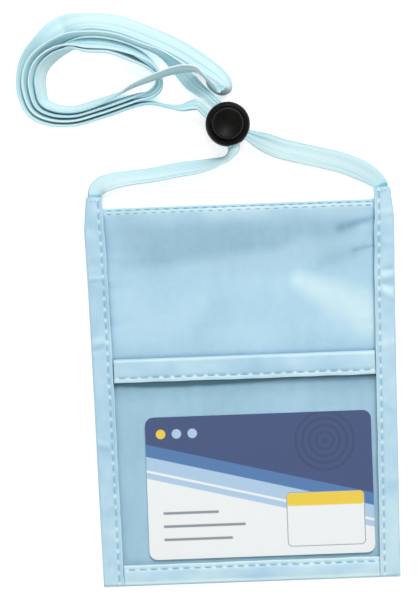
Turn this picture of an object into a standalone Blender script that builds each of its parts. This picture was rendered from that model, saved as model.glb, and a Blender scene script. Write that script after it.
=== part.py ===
"""Neck wallet: a flat zipperless nylon pouch with a clear card window, bound edges,
a long flat neck strap and a sprung cord lock.

The wallet lies on its back on the table (z = 0). +X is the right-hand side of its
front, +Y runs up to the strap and +Z comes out of the front. Everything is in metres.
"""

import math

import bmesh
import bpy
import numpy as np
from mathutils import Matrix, Vector, kdtree

# Cloth, vinyl and the room between two layers
CLOTH = 0.00035
VINYL = 0.0003
CLEARANCE = 0.00025

# Wallet outline
WALLET_HEIGHT = 0.1476
WALLET_WIDTH = 0.1176
SIDE_PROFILE_SHARES = (
    (0, 0.956),
    (0.25, 0.967),
    (0.5, 0.976),
    (0.75, 0.988),
    (0.92, 1.0),
    (1.0, 0.981),
)

# Grid of each sheet, and the rows and columns of it that lie where the sheet bends
PANEL_GRID = 16
BENDING_ROWS = (0, 1, 3, 10, 16)
BENDING_COLUMNS = (0, 5, 7, 8)

# Binding tape, folded over the edges
BINDING_WIDTH = 0.0077
BINDING_WIDTH_SHARES = ((0, 1.0), (0.5, 1.0), (0.9, 1.0), (1.0, 0.8))
BOTTOM_BINDING_WIDTH = 0.0079
FOLD_RADIUS = 0.0009
MOST_FOLD_SHARE = 0.45
FOLD_STEPS = 4
BINDING_STATIONS = 12

# Main pocket: the front panel stands away from the back panel at its mouth
PANEL_TOP_DROP = 0.0043
HEM_STEP = 0.0014
MOUTH_GAPE = 0.0049
MOUTH_GAPE_LENGTH = 0.028
GAPE_FLAT_SHARE = 0.64
GAPE_END_SHARE = 0.97
EDGE_RISE_LENGTH = 0.005

# Card window
WINDOW_POCKET_HEIGHT = 0.086
WINDOW_BINDING_WIDTH = 0.009
CARD_WIDTH = 0.0856
CARD_HEIGHT = 0.05398
CARD_THICKNESS = 0.00076
CARD_CORNER_RADIUS = 0.00318
CARD_CORNER_STEPS = 6
CARD_OFF_CENTRE = 0.0043
CARD_ABOVE_BOTTOM = 0.0095

# Strap, a flat woven tape
STRAP_WIDTH = 0.008
STRAP_THICKNESS = 0.0009
STRAP_EDGE_CHAMFER = 0.00025
STRAP_STEP = 0.0032
TABLE_CLEARANCE = 0.00015
STRAP_JOIN_GAP = 0.0003
SEWN_STRAP_WIDTH = 0.0052
GATHERED_STRAP_WIDTH = 0.004
GATHERED_STRAP_THICKNESS = 0.0015
STRANDS_APART = 0.0045
STRAIGHT_PAST_LOCK = 0.0034
LOCK_LEAD = 0.001
LEFT_MOUTH_SPREAD = 0.0021
LEFT_MOUTH_DROP = 0.0009
LOCK_MOUTH_SHARE = 0.92

# How the strap's gap to itself is measured: on points about one thickness apart, of
# stretches that lie further apart along the strap than a neighbour does
GAP_RING_SHARES = (0, 0.33, 0.67)
NEIGHBOUR_LENGTH = 0.013
GAP_SEARCH = 0.003

# Cord lock: a round housing with a sprung button and a slot for two strands
LOCK_X = -0.003
LOCK_Y = 0.09965
LOCK_AXIS_DEG = -46.0
LOCK_RADIUS = 0.00845
LOCK_FLOOR = 0.0012
LOCK_HEIGHT = 0.0106
LOCK_DOME_DEPTH = 0.0026
LOCK_FOOT_CHAMFER = 0.0006
LOCK_RIM_WIDTH = 0.0009
LOCK_RIM_CHAMFER = 0.00035
BORE_RADIUS = 0.0061
BUTTON_RADIUS = 0.0058
BUTTON_TRAVEL = 0.002
BUTTON_WEB = 0.0012
BUTTON_CAP = 0.0019
BUTTON_RIM_WIDTH = 0.0008
BUTTON_RIM_ROUND = 0.0004
BUTTON_DISH_DEPTH = 0.0005
SPRING_RADIUS = 0.0039
SPRING_WIRE = 0.0005
SPRING_LENGTH = 0.0039
SPRING_TURNS = 3.25
SPRING_POINTS_PER_TURN = 14
SLOT_CLEARANCE = 0.0003
SLOT_FLARE = 0.0028
SLOT_FLARE_START = 0.003
TURNING_STEPS = 44
DOME_STEPS = 6
RIM_STEPS = 2
MERGE_DISTANCE = 0.000001
CUT_OVERRUN = 0.002

# Colours
BINDING_BLUE = (0.43, 0.69, 0.83)
PANEL_BLUE = (0.38, 0.62, 0.77)
VINYL_TINT = (0.62, 0.8, 0.86)
STRAP_CYAN = (0.68, 0.91, 0.96)
CARD_NAVY = (0.08, 0.12, 0.3)
LOCK_BLACK = (0.012, 0.012, 0.01)
SPRING_STEEL = (0.6, 0.6, 0.6)

# Heights of the sewn layers, from the table up
LAYER = CLOTH + CLEARANCE
FRONT_PANEL_Z = 2 * LAYER
CARD_Z = FRONT_PANEL_Z + LAYER
WINDOW_FLAP_Z = CARD_Z + CARD_THICKNESS + CLEARANCE
VINYL_Z = WINDOW_FLAP_Z + LAYER
TOP_FLAP_Z = VINYL_Z + VINYL + CLEARANCE
SEAM_TOP_Z = TOP_FLAP_Z + CLOTH

# Places along the wallet
HALF_HEIGHT = WALLET_HEIGHT / 2
BACK_TOP_Y = HALF_HEIGHT - PANEL_TOP_DROP
FRONT_TOP_Y = BACK_TOP_Y - HEM_STEP
BOTTOM_BINDING_Y = BOTTOM_BINDING_WIDTH - HALF_HEIGHT
WINDOW_TOP_Y = WINDOW_POCKET_HEIGHT - HALF_HEIGHT

# Heights in the lock
SPRING_Z = LOCK_FLOOR + CLEARANCE
BUTTON_Z = SPRING_Z + SPRING_LENGTH + CLEARANCE
BUTTON_SLOT_Z = BUTTON_Z + BUTTON_WEB
STRAND_Z = BUTTON_SLOT_Z + SLOT_CLEARANCE + GATHERED_STRAP_THICKNESS / 2
HOUSING_SLOT_TOP_Z = STRAND_Z + GATHERED_STRAP_THICKNESS / 2 + SLOT_CLEARANCE
HOUSING_SLOT_Z = BUTTON_SLOT_Z - BUTTON_TRAVEL
BUTTON_SLOT_TOP_Z = HOUSING_SLOT_TOP_Z + BUTTON_TRAVEL
SLOT_HALF_WIDTH = STRANDS_APART / 2 + GATHERED_STRAP_WIDTH / 2 + SLOT_CLEARANCE
LOCK_EXIT = math.sqrt(LOCK_RADIUS**2 - (STRANDS_APART / 2) ** 2)

# Where the strap is off the table: sewn in the binding, and in the lock
SEWN_LIFT = (CLOTH + TOP_FLAP_Z) / 2 - STRAP_THICKNESS / 2 - TABLE_CLEARANCE
LOCK_LIFT = STRAND_Z - GATHERED_STRAP_THICKNESS / 2 - TABLE_CLEARANCE

# Routes of the strap. A row holds x, y, the lean of the tape in degrees (0 lies flat,
# 90 stands on edge, positive lifts the edge on the left of the way it runs), the height
# of its lower edge over the table, its width and its thickness.
FLAT = (STRAP_WIDTH, STRAP_THICKNESS)
SEWN = (SEWN_STRAP_WIDTH, STRAP_THICKNESS)
GATHERED = (GATHERED_STRAP_WIDTH, GATHERED_STRAP_THICKNESS)
LEFT_RUN_ROUTE = (
    (-0.0543, 0.0701, 0, SEWN_LIFT, *SEWN),
    (-0.0543, 0.0735, 0, SEWN_LIFT, *SEWN),
    (-0.0540, 0.0758, -8, 0.0009, 0.0058, STRAP_THICKNESS),
    (-0.0519, 0.0782, -24, 0.0002, 0.0070, STRAP_THICKNESS),
    (-0.0470, 0.0798, -40, 0, *FLAT),
    (-0.0399, 0.0808, -46, 0, *FLAT),
    (-0.0327, 0.0815, -47, 0, *FLAT),
    (-0.0224, 0.0831, -46, 0, *FLAT),
    (-0.0141, 0.0841, -52, 0, *FLAT),
    (-0.0083, 0.0851, -64, 0.0004, *FLAT),
    (-0.0045, 0.0864, -74, 0.0014, 0.0075, STRAP_THICKNESS),
    (-0.0024, 0.0884, -60, 0.0040, 0.0058, 0.0012),
)
RIGHT_RUN_ROUTE = (
    (0.0543, 0.0701, 0, SEWN_LIFT, *SEWN),
    (0.0543, 0.0731, 0, SEWN_LIFT, *SEWN),
    (0.0537, 0.0755, -3, 0.0009, 0.0058, STRAP_THICKNESS),
    (0.0512, 0.0779, -5, 0.0002, 0.0070, STRAP_THICKNESS),
    (0.0463, 0.0808, -4, 0, *FLAT),
    (0.0400, 0.0835, -2, 0, *FLAT),
    (0.0332, 0.0855, 0, 0, *FLAT),
    (0.0239, 0.0879, 2, 0, *FLAT),
    (0.0166, 0.0899, 4, 0.0007, *FLAT),
    (0.0112, 0.0921, 6, 0.0029, 0.0076, STRAP_THICKNESS),
    (0.0076, 0.0936, 4, 0.0054, 0.0060, 0.0011),
)
FROM_LOCK_ROUTE = (
    (-0.0166, 0.1072, 42, 0.0046, 0.0049, 0.0013),
    (-0.0203, 0.1067, 70, 0.0014, 0.0075, STRAP_THICKNESS),
    (-0.0250, 0.1072, 80, 0, *FLAT),
    (-0.0306, 0.1085, 82, 0, *FLAT),
    (-0.0351, 0.1086, 80, 0, *FLAT),
)
OVER_ROUTE = (
    (-0.0207, 0.1292, -34, 0, *FLAT),
    (-0.0130, 0.1241, -35, 0, *FLAT),
    (-0.0064, 0.1190, -42, 0, *FLAT),
    (-0.0033, 0.1157, -56, 0, *FLAT),
    (-0.0024, 0.1132, -70, 0, *FLAT),
    (-0.0046, 0.1119, -76, 0, *FLAT),
    (-0.0076, 0.1131, -80, 0.0012, *FLAT),
    (-0.0091, 0.1154, -84, 0.0049, *FLAT),
    (-0.0115, 0.1180, -86, 0.0078, *FLAT),
    (-0.0146, 0.1205, -77, 0.0086, *FLAT),
    (-0.0188, 0.1209, -72, 0.0086, *FLAT),
    (-0.0237, 0.1201, -72, 0.0087, *FLAT),
    (-0.0290, 0.1185, -75, 0.0088, *FLAT),
    (-0.0344, 0.1166, -79, 0.0066, *FLAT),
    (-0.0385, 0.1150, -84, 0.0034, *FLAT),
    (-0.0429, 0.1130, -94, 0.0010, *FLAT),
)
INNER_TURN_ROUTE = (
    (-0.0389, 0.1261, -72, 0, *FLAT),
    (-0.0325, 0.1223, -84, 0, *FLAT),
    (-0.0297, 0.1197, -86, 0, *FLAT),
    (-0.0292, 0.1169, -90, 0, *FLAT),
    (-0.0304, 0.1145, -90, 0, *FLAT),
    (-0.0330, 0.1129, -92, 0, *FLAT),
    (-0.0368, 0.1120, -97, 0, *FLAT),
)
OUTER_TURN_ROUTE = (
    (-0.0356, 0.1275, -72, 0, *FLAT),
    (-0.0301, 0.1231, -86, 0, *FLAT),
    (-0.0277, 0.1188, -86, 0, *FLAT),
    (-0.0272, 0.1152, -90, 0, *FLAT),
    (-0.0290, 0.1123, -90, 0, *FLAT),
    (-0.0325, 0.1107, -93, 0, *FLAT),
    (-0.0366, 0.1101, -97, 0, *FLAT),
)
TO_LOCK_ROUTE = (
    (-0.0280, 0.1278, -104, 0, *FLAT),
    (-0.0241, 0.1248, -114, 0, *FLAT),
    (-0.0205, 0.1211, -128, 0, *FLAT),
    (-0.0171, 0.1170, -136, 0.0008, *FLAT),
    (-0.0136, 0.1133, -152, 0.0044, 0.0054, 0.0012),
)

# The coil: its outer line, each point with the side that it belongs to (0 is the side
# next to the wallet, 1 the left end, 2 the upper left corner, 3 past the corner and 4
# the far side), and how far in the four strands lie there and how they lean.
COIL_OUTLINE = (
    (-0.0399, 0.1061, 0.0),
    (-0.0505, 0.1029, 0.0),
    (-0.0609, 0.1005, 0.0),
    (-0.0708, 0.1011, 0.35),
    (-0.0784, 0.1050, 0.7),
    (-0.0822, 0.1131, 1.0),
    (-0.0826, 0.1202, 1.0),
    (-0.0804, 0.1282, 1.3),
    (-0.0746, 0.1356, 2.0),
    (-0.0664, 0.1421, 3.0),
    (-0.0565, 0.1440, 4.0),
    (-0.0437, 0.1427, 4.0),
    (-0.0314, 0.1381, 4.0),
)
STRAND_OFFSETS = (
    (0.00135, 0.00300, 0.00465, 0.00685),
    (0.00245, 0.00450, 0.00695, 0.00935),
    (0.00310, 0.00640, 0.00860, 0.01080),
    (0.00350, 0.00810, 0.01090, 0.01305),
    (0.00330, 0.00800, 0.01165, 0.01335),
)
STRAND_LEANS = (
    (78, -101, -101, -110),
    (60, -120, -120, -120),
    (38, -117, -106, -110),
    (4, -108, -84, -92),
    (-35, -98, -63, -64),
)


def material(name, color, roughness, metallic=0.0, alpha=1.0):
    made = bpy.data.materials.new(name)
    made.use_nodes = True
    shader = made.node_tree.nodes["Principled BSDF"]
    shader.inputs["Base Color"].default_value = (*color, 1.0)
    shader.inputs["Roughness"].default_value = roughness
    shader.inputs["Metallic"].default_value = metallic
    shader.inputs["Alpha"].default_value = alpha
    return made


def new_object(name, mesh, look, sharp_angle=math.radians(35)):
    made = bpy.data.objects.new(name, mesh)
    bpy.context.collection.objects.link(made)
    mesh.materials.append(look)
    mesh.shade_smooth()
    mesh.set_sharp_from_angle(angle=sharp_angle)
    return made


def mesh_from(shape, name):
    """The finished mesh, with its faces pointing out of the solid."""
    bmesh.ops.recalc_face_normals(shape, faces=shape.faces)
    if shape.calc_volume(signed=True) < 0:
        bmesh.ops.reverse_faces(shape, faces=shape.faces)
    mesh = bpy.data.meshes.new(name)
    shape.to_mesh(mesh)
    shape.free()
    return mesh


def loft(name, sections, look):
    """A closed solid through sections that have the same number of points each."""
    shape = bmesh.new()
    rings = [[shape.verts.new(point) for point in section] for section in sections]
    count = len(rings[0])
    for near, far in zip(rings, rings[1:]):
        for index in range(count):
            following = (index + 1) % count
            shape.faces.new((near[index], near[following], far[following], far[index]))
    shape.faces.new(rings[0])
    shape.faces.new(rings[-1])
    return new_object(name, mesh_from(shape, name), look)


def turned(name, profile, look):
    """A solid of revolution about the lock's axis from (radius, height) points."""
    shape = bmesh.new()
    points = [shape.verts.new((radius, 0, height)) for radius, height in profile]
    edges = [shape.edges.new(pair) for pair in zip(points, points[1:])]
    bmesh.ops.spin(
        shape,
        geom=points + edges,
        cent=(0, 0, 0),
        axis=(0, 0, 1),
        angle=math.tau,
        steps=TURNING_STEPS,
        use_merge=True,
    )
    bmesh.ops.remove_doubles(shape, verts=shape.verts, dist=MERGE_DISTANCE)
    made = new_object(name, mesh_from(shape, name), look)
    made.location = (LOCK_X, LOCK_Y, 0)
    made.rotation_euler.z = math.radians(LOCK_AXIS_DEG)
    return made


def prism(name, outline, low, high):
    """A helper that cuts, extruded from an outline between two heights."""
    shape = bmesh.new()
    base = shape.faces.new([shape.verts.new((x, y, low)) for x, y in outline])
    grown = bmesh.ops.extrude_face_region(shape, geom=[base])
    top = [item for item in grown["geom"] if isinstance(item, bmesh.types.BMVert)]
    bmesh.ops.translate(shape, verts=top, vec=(0, 0, high - low))
    made = bpy.data.objects.new(name, mesh_from(shape, name))
    bpy.context.collection.objects.link(made)
    made.hide_render = True
    made.display_type = "WIRE"
    made.location = (LOCK_X, LOCK_Y, 0)
    made.rotation_euler.z = math.radians(LOCK_AXIS_DEG)
    return made


def cut(target, cutter):
    modifier = target.modifiers.new("cut_" + cutter.name, "BOOLEAN")
    modifier.operation = "DIFFERENCE"
    modifier.object = cutter


def blend_rows(rows, place):
    """Reads a table of (place, value) rows at a place between them."""
    places = [row[0] for row in rows]
    values = [row[1] for row in rows]
    return float(np.interp(place, places, values))


def smooth(share):
    share = min(max(share, 0.0), 1.0)
    return share * share * (3 - 2 * share)


def half_width(y):
    """Half of the wallet's width, to the fold of the side binding, at a height y."""
    share = (y + HALF_HEIGHT) / WALLET_HEIGHT
    return WALLET_WIDTH / 2 * blend_rows(SIDE_PROFILE_SHARES, share)


def clear_half_width(y):
    """Half of the width between the inner edges of the side bindings."""
    share = (y + HALF_HEIGHT) / WALLET_HEIGHT
    return half_width(y) - BINDING_WIDTH * blend_rows(BINDING_WIDTH_SHARES, share)


def build_panel(name, bottom_y, top_y, level, thickness, look):
    """A sheet of cloth or vinyl whose side edges lie in the folds of the side bindings."""
    rise_y = BOTTOM_BINDING_Y + EDGE_RISE_LENGTH
    heights = (bottom_y, BOTTOM_BINDING_Y, rise_y, top_y - MOUTH_GAPE_LENGTH, top_y)
    shape = bmesh.new()
    bmesh.ops.create_grid(shape, x_segments=PANEL_GRID, y_segments=PANEL_GRID, size=1)
    for vert in shape.verts:
        y = np.interp((vert.co.y + 1) * PANEL_GRID / 2, BENDING_ROWS, heights)
        clear = clear_half_width(y)
        widths = (0, clear - EDGE_RISE_LENGTH, clear, half_width(y) - FOLD_RADIUS)
        aside = np.interp(abs(vert.co.x) * PANEL_GRID / 2, BENDING_COLUMNS, widths)
        x = math.copysign(aside, vert.co.x)
        vert.co = (x, y, level(x, y))
    below = bmesh.ops.duplicate(shape, geom=shape.verts[:] + shape.edges[:] + shape.faces[:])
    upper = [item for item in below["geom"] if isinstance(item, bmesh.types.BMVert)]
    rims = [edge for edge in shape.edges if edge.is_boundary]
    bmesh.ops.translate(shape, verts=upper, vec=(0, 0, thickness))
    bmesh.ops.bridge_loops(shape, edges=rims)
    return new_object(name, mesh_from(shape, name), look)


def back_level(x, y):
    """The back panel rests on the table and rises into the bindings near its edges."""
    side = smooth(1 - (clear_half_width(y) - abs(x)) / EDGE_RISE_LENGTH)
    bottom = smooth(1 - (y - BOTTOM_BINDING_Y) / EDGE_RISE_LENGTH)
    return LAYER * max(side, bottom)


def front_level(x, y):
    """The front panel lies flat and gapes at the mouth of the main pocket."""
    across = abs(x) / clear_half_width(y)
    middle = 1 - smooth((across - GAPE_FLAT_SHARE) / (GAPE_END_SHARE - GAPE_FLAT_SHARE))
    upper = smooth(1 - (FRONT_TOP_Y - y) / MOUTH_GAPE_LENGTH)
    return FRONT_PANEL_Z + MOUTH_GAPE * middle * upper


def vinyl_level(x, y):
    return VINYL_Z


def fold_section(outer, inner, low, high):
    """A tape folded round an edge: (across, height) points of its closed section.

    outer is where the fold lies and inner where both flaps end.
    """
    inward = math.copysign(1, inner - outer)
    bend = min(FOLD_RADIUS, MOST_FOLD_SHARE * (high - low))
    centre = outer + inward * bend
    points = [(inner, high)]
    for radius, turns in ((bend, 1), (bend - CLOTH, -1)):
        arc = []
        for corner_z, start in ((high - bend, 0), (low + bend, math.pi / 2)):
            for step in range(FOLD_STEPS + 1):
                angle = start + math.pi / 2 * step / FOLD_STEPS
                across = centre - inward * radius * math.sin(angle)
                arc.append((across, corner_z + radius * math.cos(angle)))
        points += arc[::turns]
        if turns == 1:
            points += [(inner, low), (inner, low + CLOTH)]
    points.append((inner, high - CLOTH))
    return points


def side_binding(name, side, look):
    """The tape down one side edge. Its upper end holds the strap."""
    sections = []
    for station in range(BINDING_STATIONS + 1):
        y = WALLET_HEIGHT * station / BINDING_STATIONS - HALF_HEIGHT
        profile = fold_section(side * half_width(y), side * clear_half_width(y), 0, SEAM_TOP_Z)
        sections.append([(x, y, z) for x, z in profile])
    return loft(name, sections, look)


def cross_binding(name, fold_y, edge_y, low, high, look):
    """A tape that runs across the wallet between the two side bindings."""
    end = clear_half_width(edge_y) - CLEARANCE
    profile = fold_section(fold_y, edge_y, low, high)
    sections = [[(x, y, z) for y, z in profile] for x in (-end, end)]
    return loft(name, sections, look)


def build_card(look):
    shape = bmesh.new()
    bmesh.ops.create_cube(shape, size=1)
    bmesh.ops.scale(shape, vec=(CARD_WIDTH, CARD_HEIGHT, CARD_THICKNESS), verts=shape.verts)
    uprights = [edge for edge in shape.edges if edge.verts[0].co.z != edge.verts[1].co.z]
    bmesh.ops.bevel(
        shape,
        geom=uprights,
        offset=CARD_CORNER_RADIUS,
        segments=CARD_CORNER_STEPS,
        profile=0.5,
        affect="EDGES",
        material=-1,
    )
    card = new_object("id_card", mesh_from(shape, "id_card"), look)
    card_y = CARD_ABOVE_BOTTOM + CARD_HEIGHT / 2 - HALF_HEIGHT
    card.location = (CARD_OFF_CENTRE, card_y, CARD_Z + CARD_THICKNESS / 2)
    return card


def lock_direction():
    angle = math.radians(LOCK_AXIS_DEG)
    return Vector((math.cos(angle), math.sin(angle)))


def lock_point(along, aside):
    """A point in the lock: along its slot towards the wallet, and to the left of that."""
    ahead = lock_direction()
    left = Vector((-ahead.y, ahead.x))
    point = Vector((LOCK_X, LOCK_Y)) + ahead * along + left * aside
    return point.x, point.y


def slot_outline():
    """The slot seen from above: narrow at the button and flared at both mouths."""
    reach = LOCK_RADIUS + CUT_OVERRUN
    flare_share = (reach - SLOT_FLARE_START) / (LOCK_RADIUS - SLOT_FLARE_START)
    wide = SLOT_HALF_WIDTH + SLOT_FLARE * flare_share
    corners = (
        (-reach, -wide),
        (-SLOT_FLARE_START, -SLOT_HALF_WIDTH),
        (SLOT_FLARE_START, -SLOT_HALF_WIDTH),
        (reach, -wide),
    )
    return corners + tuple((x, -y) for x, y in reversed(corners))


def build_lock_housing(look):
    dome_radius = LOCK_RADIUS - BORE_RADIUS - LOCK_RIM_WIDTH
    profile = [(0, 0), (LOCK_RADIUS - LOCK_FOOT_CHAMFER, 0), (LOCK_RADIUS, LOCK_FOOT_CHAMFER)]
    for step in range(DOME_STEPS + 1):
        angle = math.pi / 2 * step / DOME_STEPS
        radius = LOCK_RADIUS - dome_radius * (1 - math.cos(angle))
        height = LOCK_HEIGHT - LOCK_DOME_DEPTH * (1 - math.sin(angle))
        profile.append((radius, height))
    profile += [
        (BORE_RADIUS + LOCK_RIM_CHAMFER, LOCK_HEIGHT),
        (BORE_RADIUS, LOCK_HEIGHT - LOCK_RIM_CHAMFER),
        (BORE_RADIUS, LOCK_FLOOR),
        (0, LOCK_FLOOR),
    ]
    housing = turned("lock_housing", profile, look)
    cut(housing, prism("housing_slot", slot_outline(), HOUSING_SLOT_Z, HOUSING_SLOT_TOP_Z))
    return housing


def build_lock_button(look):
    top = BUTTON_SLOT_TOP_Z + BUTTON_CAP
    round_radius = BUTTON_RADIUS - BUTTON_RIM_ROUND
    round_height = top - BUTTON_RIM_ROUND
    rim = round_radius - BUTTON_RIM_WIDTH
    profile = [(0, BUTTON_Z), (round_radius, BUTTON_Z), (BUTTON_RADIUS, BUTTON_Z + BUTTON_RIM_ROUND)]
    for step in range(RIM_STEPS + 1):
        angle = math.pi / 2 * step / RIM_STEPS
        radius = round_radius + BUTTON_RIM_ROUND * math.cos(angle)
        height = round_height + BUTTON_RIM_ROUND * math.sin(angle)
        profile.append((radius, height))
    profile += [
        (rim, top),
        (rim - BUTTON_DISH_DEPTH, top - BUTTON_DISH_DEPTH),
        (0, top - BUTTON_DISH_DEPTH),
    ]
    button = turned("lock_button", profile, look)
    reach = BUTTON_RADIUS + CUT_OVERRUN
    outline = (
        (-reach, -SLOT_HALF_WIDTH),
        (reach, -SLOT_HALF_WIDTH),
        (reach, SLOT_HALF_WIDTH),
        (-reach, SLOT_HALF_WIDTH),
    )
    cut(button, prism("button_slot", outline, BUTTON_SLOT_Z, BUTTON_SLOT_TOP_Z))
    return button


def build_spring(look):
    curve = bpy.data.curves.new("lock_spring", "CURVE")
    curve.dimensions = "3D"
    curve.bevel_depth = SPRING_WIRE / 2
    curve.bevel_resolution = 1
    curve.use_fill_caps = True
    spline = curve.splines.new("POLY")
    steps = round(SPRING_TURNS * SPRING_POINTS_PER_TURN)
    spline.points.add(steps)
    rise = SPRING_LENGTH - SPRING_WIRE
    for step, point in enumerate(spline.points):
        angle = math.tau * step / SPRING_POINTS_PER_TURN
        height = SPRING_WIRE / 2 + rise * step / steps
        point.co = (SPRING_RADIUS * math.cos(angle), SPRING_RADIUS * math.sin(angle), height, 1)
    curve.materials.append(look)
    spring = bpy.data.objects.new("lock_spring", curve)
    bpy.context.collection.objects.link(spring)
    spring.location = (LOCK_X, LOCK_Y, SPRING_Z)
    return spring


def coil_side(strand, first, last):
    """Rows of one strand of the coil, laid inside the coil's outer line."""
    rows = []
    for index in range(first, last + 1):
        x, y, side = COIL_OUTLINE[index]
        before = COIL_OUTLINE[max(index - 1, 0)]
        after = COIL_OUTLINE[min(index + 1, len(COIL_OUTLINE) - 1)]
        ahead = Vector((after[0] - before[0], after[1] - before[1])).normalized()
        sides = range(len(STRAND_OFFSETS))
        offset = np.interp(side, sides, [row[strand] for row in STRAND_OFFSETS])
        lean = np.interp(side, sides, [row[strand] for row in STRAND_LEANS])
        rows.append((x + ahead.y * offset, y - ahead.x * offset, lean, 0, *FLAT))
    return rows


def coil_route():
    """The neck strap's middle, from the left-hand strand in the lock round to the other."""
    last = len(COIL_OUTLINE) - 1
    rows = [lock_row(-1, 0), lock_row(-1, LOCK_LEAD)]
    rows += FROM_LOCK_ROUTE
    rows += coil_side(0, 0, last)
    rows += OVER_ROUTE
    rows += coil_side(3, 1, last - 1)
    rows += INNER_TURN_ROUTE
    rows += coil_side(2, 0, last - 1)
    rows += OUTER_TURN_ROUTE
    rows += coil_side(1, 0, last)
    rows += TO_LOCK_ROUTE
    rows += [lock_row(1, LOCK_LEAD, -180), lock_row(1, 0, -180)]
    return rows


def lock_row(hand, further, lean=0):
    """A row near the end of the straight stretch past the lock, on the coil's side."""
    along = LOCK_EXIT + STRAIGHT_PAST_LOCK + STRAP_JOIN_GAP + further
    x, y = lock_point(-along, hand * STRANDS_APART / 2)
    return x, y, lean, LOCK_LIFT, *GATHERED


def run_route(table, hand, mouth_spread, mouth_drop):
    """A run from the wallet through the lock to the coil."""
    rows = list(table)
    middle = STRANDS_APART / 2
    for along, aside, drop in (
        (LOCK_RADIUS * LOCK_MOUTH_SHARE, middle + mouth_spread, mouth_drop),
        (BUTTON_RADIUS, middle + mouth_spread / 3, 0),
        (BUTTON_RADIUS / 2, middle, 0),
        (0, middle, 0),
        (-LOCK_EXIT / 2, middle, 0),
        (-LOCK_EXIT - STRAIGHT_PAST_LOCK, middle, 0),
    ):
        x, y = lock_point(along, hand * aside)
        rows.append((x, y, 0, LOCK_LIFT - drop, *GATHERED))
    return rows


def smooth_route(rows):
    """Points of a smooth curve through the rows, about a strap step apart."""
    rows = [np.array(row, dtype=float) for row in rows]
    rows = [2 * rows[0] - rows[1], *rows, 2 * rows[-1] - rows[-2]]
    points = []
    for before, start, end, after in zip(rows, rows[1:], rows[2:], rows[3:]):
        knots = [0.0]
        for near, far in ((before, start), (start, end), (end, after)):
            knots.append(knots[-1] + math.sqrt(math.dist(near[:2], far[:2])))
        count = max(2, math.ceil(math.dist(start[:2], end[:2]) / STRAP_STEP))
        for step in range(count):
            at = knots[1] + (knots[2] - knots[1]) * step / count
            points.append(spline_point((before, start, end, after), knots, at))
    points.append(rows[-2])
    return points


def spline_point(rows, knots, at):
    """One point of a centripetal Catmull-Rom curve, between the second and third rows."""

    def mix(near, far, low, high):
        share = (at - knots[low]) / (knots[high] - knots[low])
        return near * (1 - share) + far * share

    first = mix(rows[0], rows[1], 0, 1)
    middle = mix(rows[1], rows[2], 1, 2)
    last = mix(rows[2], rows[3], 2, 3)
    return mix(mix(first, middle, 0, 2), mix(middle, last, 1, 3), 1, 2)


def strap_sections(rows):
    """Closed sections of the tape along a route, each a flat oblong with its corners cut."""
    points = smooth_route(rows)
    centres = []
    for x, y, lean, lift, width, thickness in points:
        lean = math.radians(lean)
        half_rise = width / 2 * abs(math.sin(lean)) + thickness / 2 * abs(math.cos(lean))
        centres.append(Vector((x, y, TABLE_CLEARANCE + lift + half_rise)))
    sections = []
    for index, (_, _, lean, _, width, thickness) in enumerate(points):
        behind = centres[max(index - 1, 0)]
        ahead = (centres[min(index + 1, len(centres) - 1)] - behind).normalized()
        left = Vector((0, 0, 1)).cross(ahead).normalized()
        turn = Matrix.Rotation(math.radians(lean), 3, ahead)
        across = turn @ left
        over = ahead.cross(across)
        half = width / 2
        deep = thickness / 2
        nick = STRAP_EDGE_CHAMFER
        corners = (
            (half, deep - nick),
            (half - nick, deep),
            (nick - half, deep),
            (-half, deep - nick),
            (-half, nick - deep),
            (nick - half, -deep),
            (half - nick, -deep),
            (half, nick - deep),
        )
        sections.append([centres[index] + across * a + over * b for a, b in corners])
    return centres, sections


def route_length(centres):
    return sum((far - near).length for near, far in zip(centres, centres[1:]))


def least_gap(centres, sections):
    """The least gap between two stretches of the tape that aren't neighbours along it."""
    samples = []
    along = 0.0
    for index in range(len(sections) - 1):
        step_length = (centres[index + 1] - centres[index]).length
        for share in GAP_RING_SHARES:
            ring = [a.lerp(b, share) for a, b in zip(sections[index], sections[index + 1])]
            for corner, following in zip(ring, ring[1:] + ring[:1]):
                count = max(1, round((following - corner).length / STRAP_THICKNESS))
                for step in range(count):
                    samples.append((corner.lerp(following, step / count), along + step_length * share))
        along += step_length
    tree = kdtree.KDTree(len(samples))
    for index, (point, _) in enumerate(samples):
        tree.insert(point, index)
    tree.balance()
    least = GAP_SEARCH
    for point, place in samples:
        for _, index, gap in tree.find_range(point, least):
            if gap < least and abs(samples[index][1] - place) > NEIGHBOUR_LENGTH:
                least = gap
    return least


for old in list(bpy.data.objects):
    bpy.data.objects.remove(old, do_unlink=True)

binding_cloth = material("binding_tape", BINDING_BLUE, 0.75)
panel_cloth = material("panel_nylon", PANEL_BLUE, 0.6)
clear_vinyl = material("clear_vinyl", VINYL_TINT, 0.15, alpha=0.35)
strap_tape = material("woven_strap", STRAP_CYAN, 0.7)
card_plastic = material("printed_card", CARD_NAVY, 0.35)
lock_plastic = material("black_plastic", LOCK_BLACK, 0.4)
spring_wire = material("spring_wire", SPRING_STEEL, 0.3, metallic=1.0)

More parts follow.
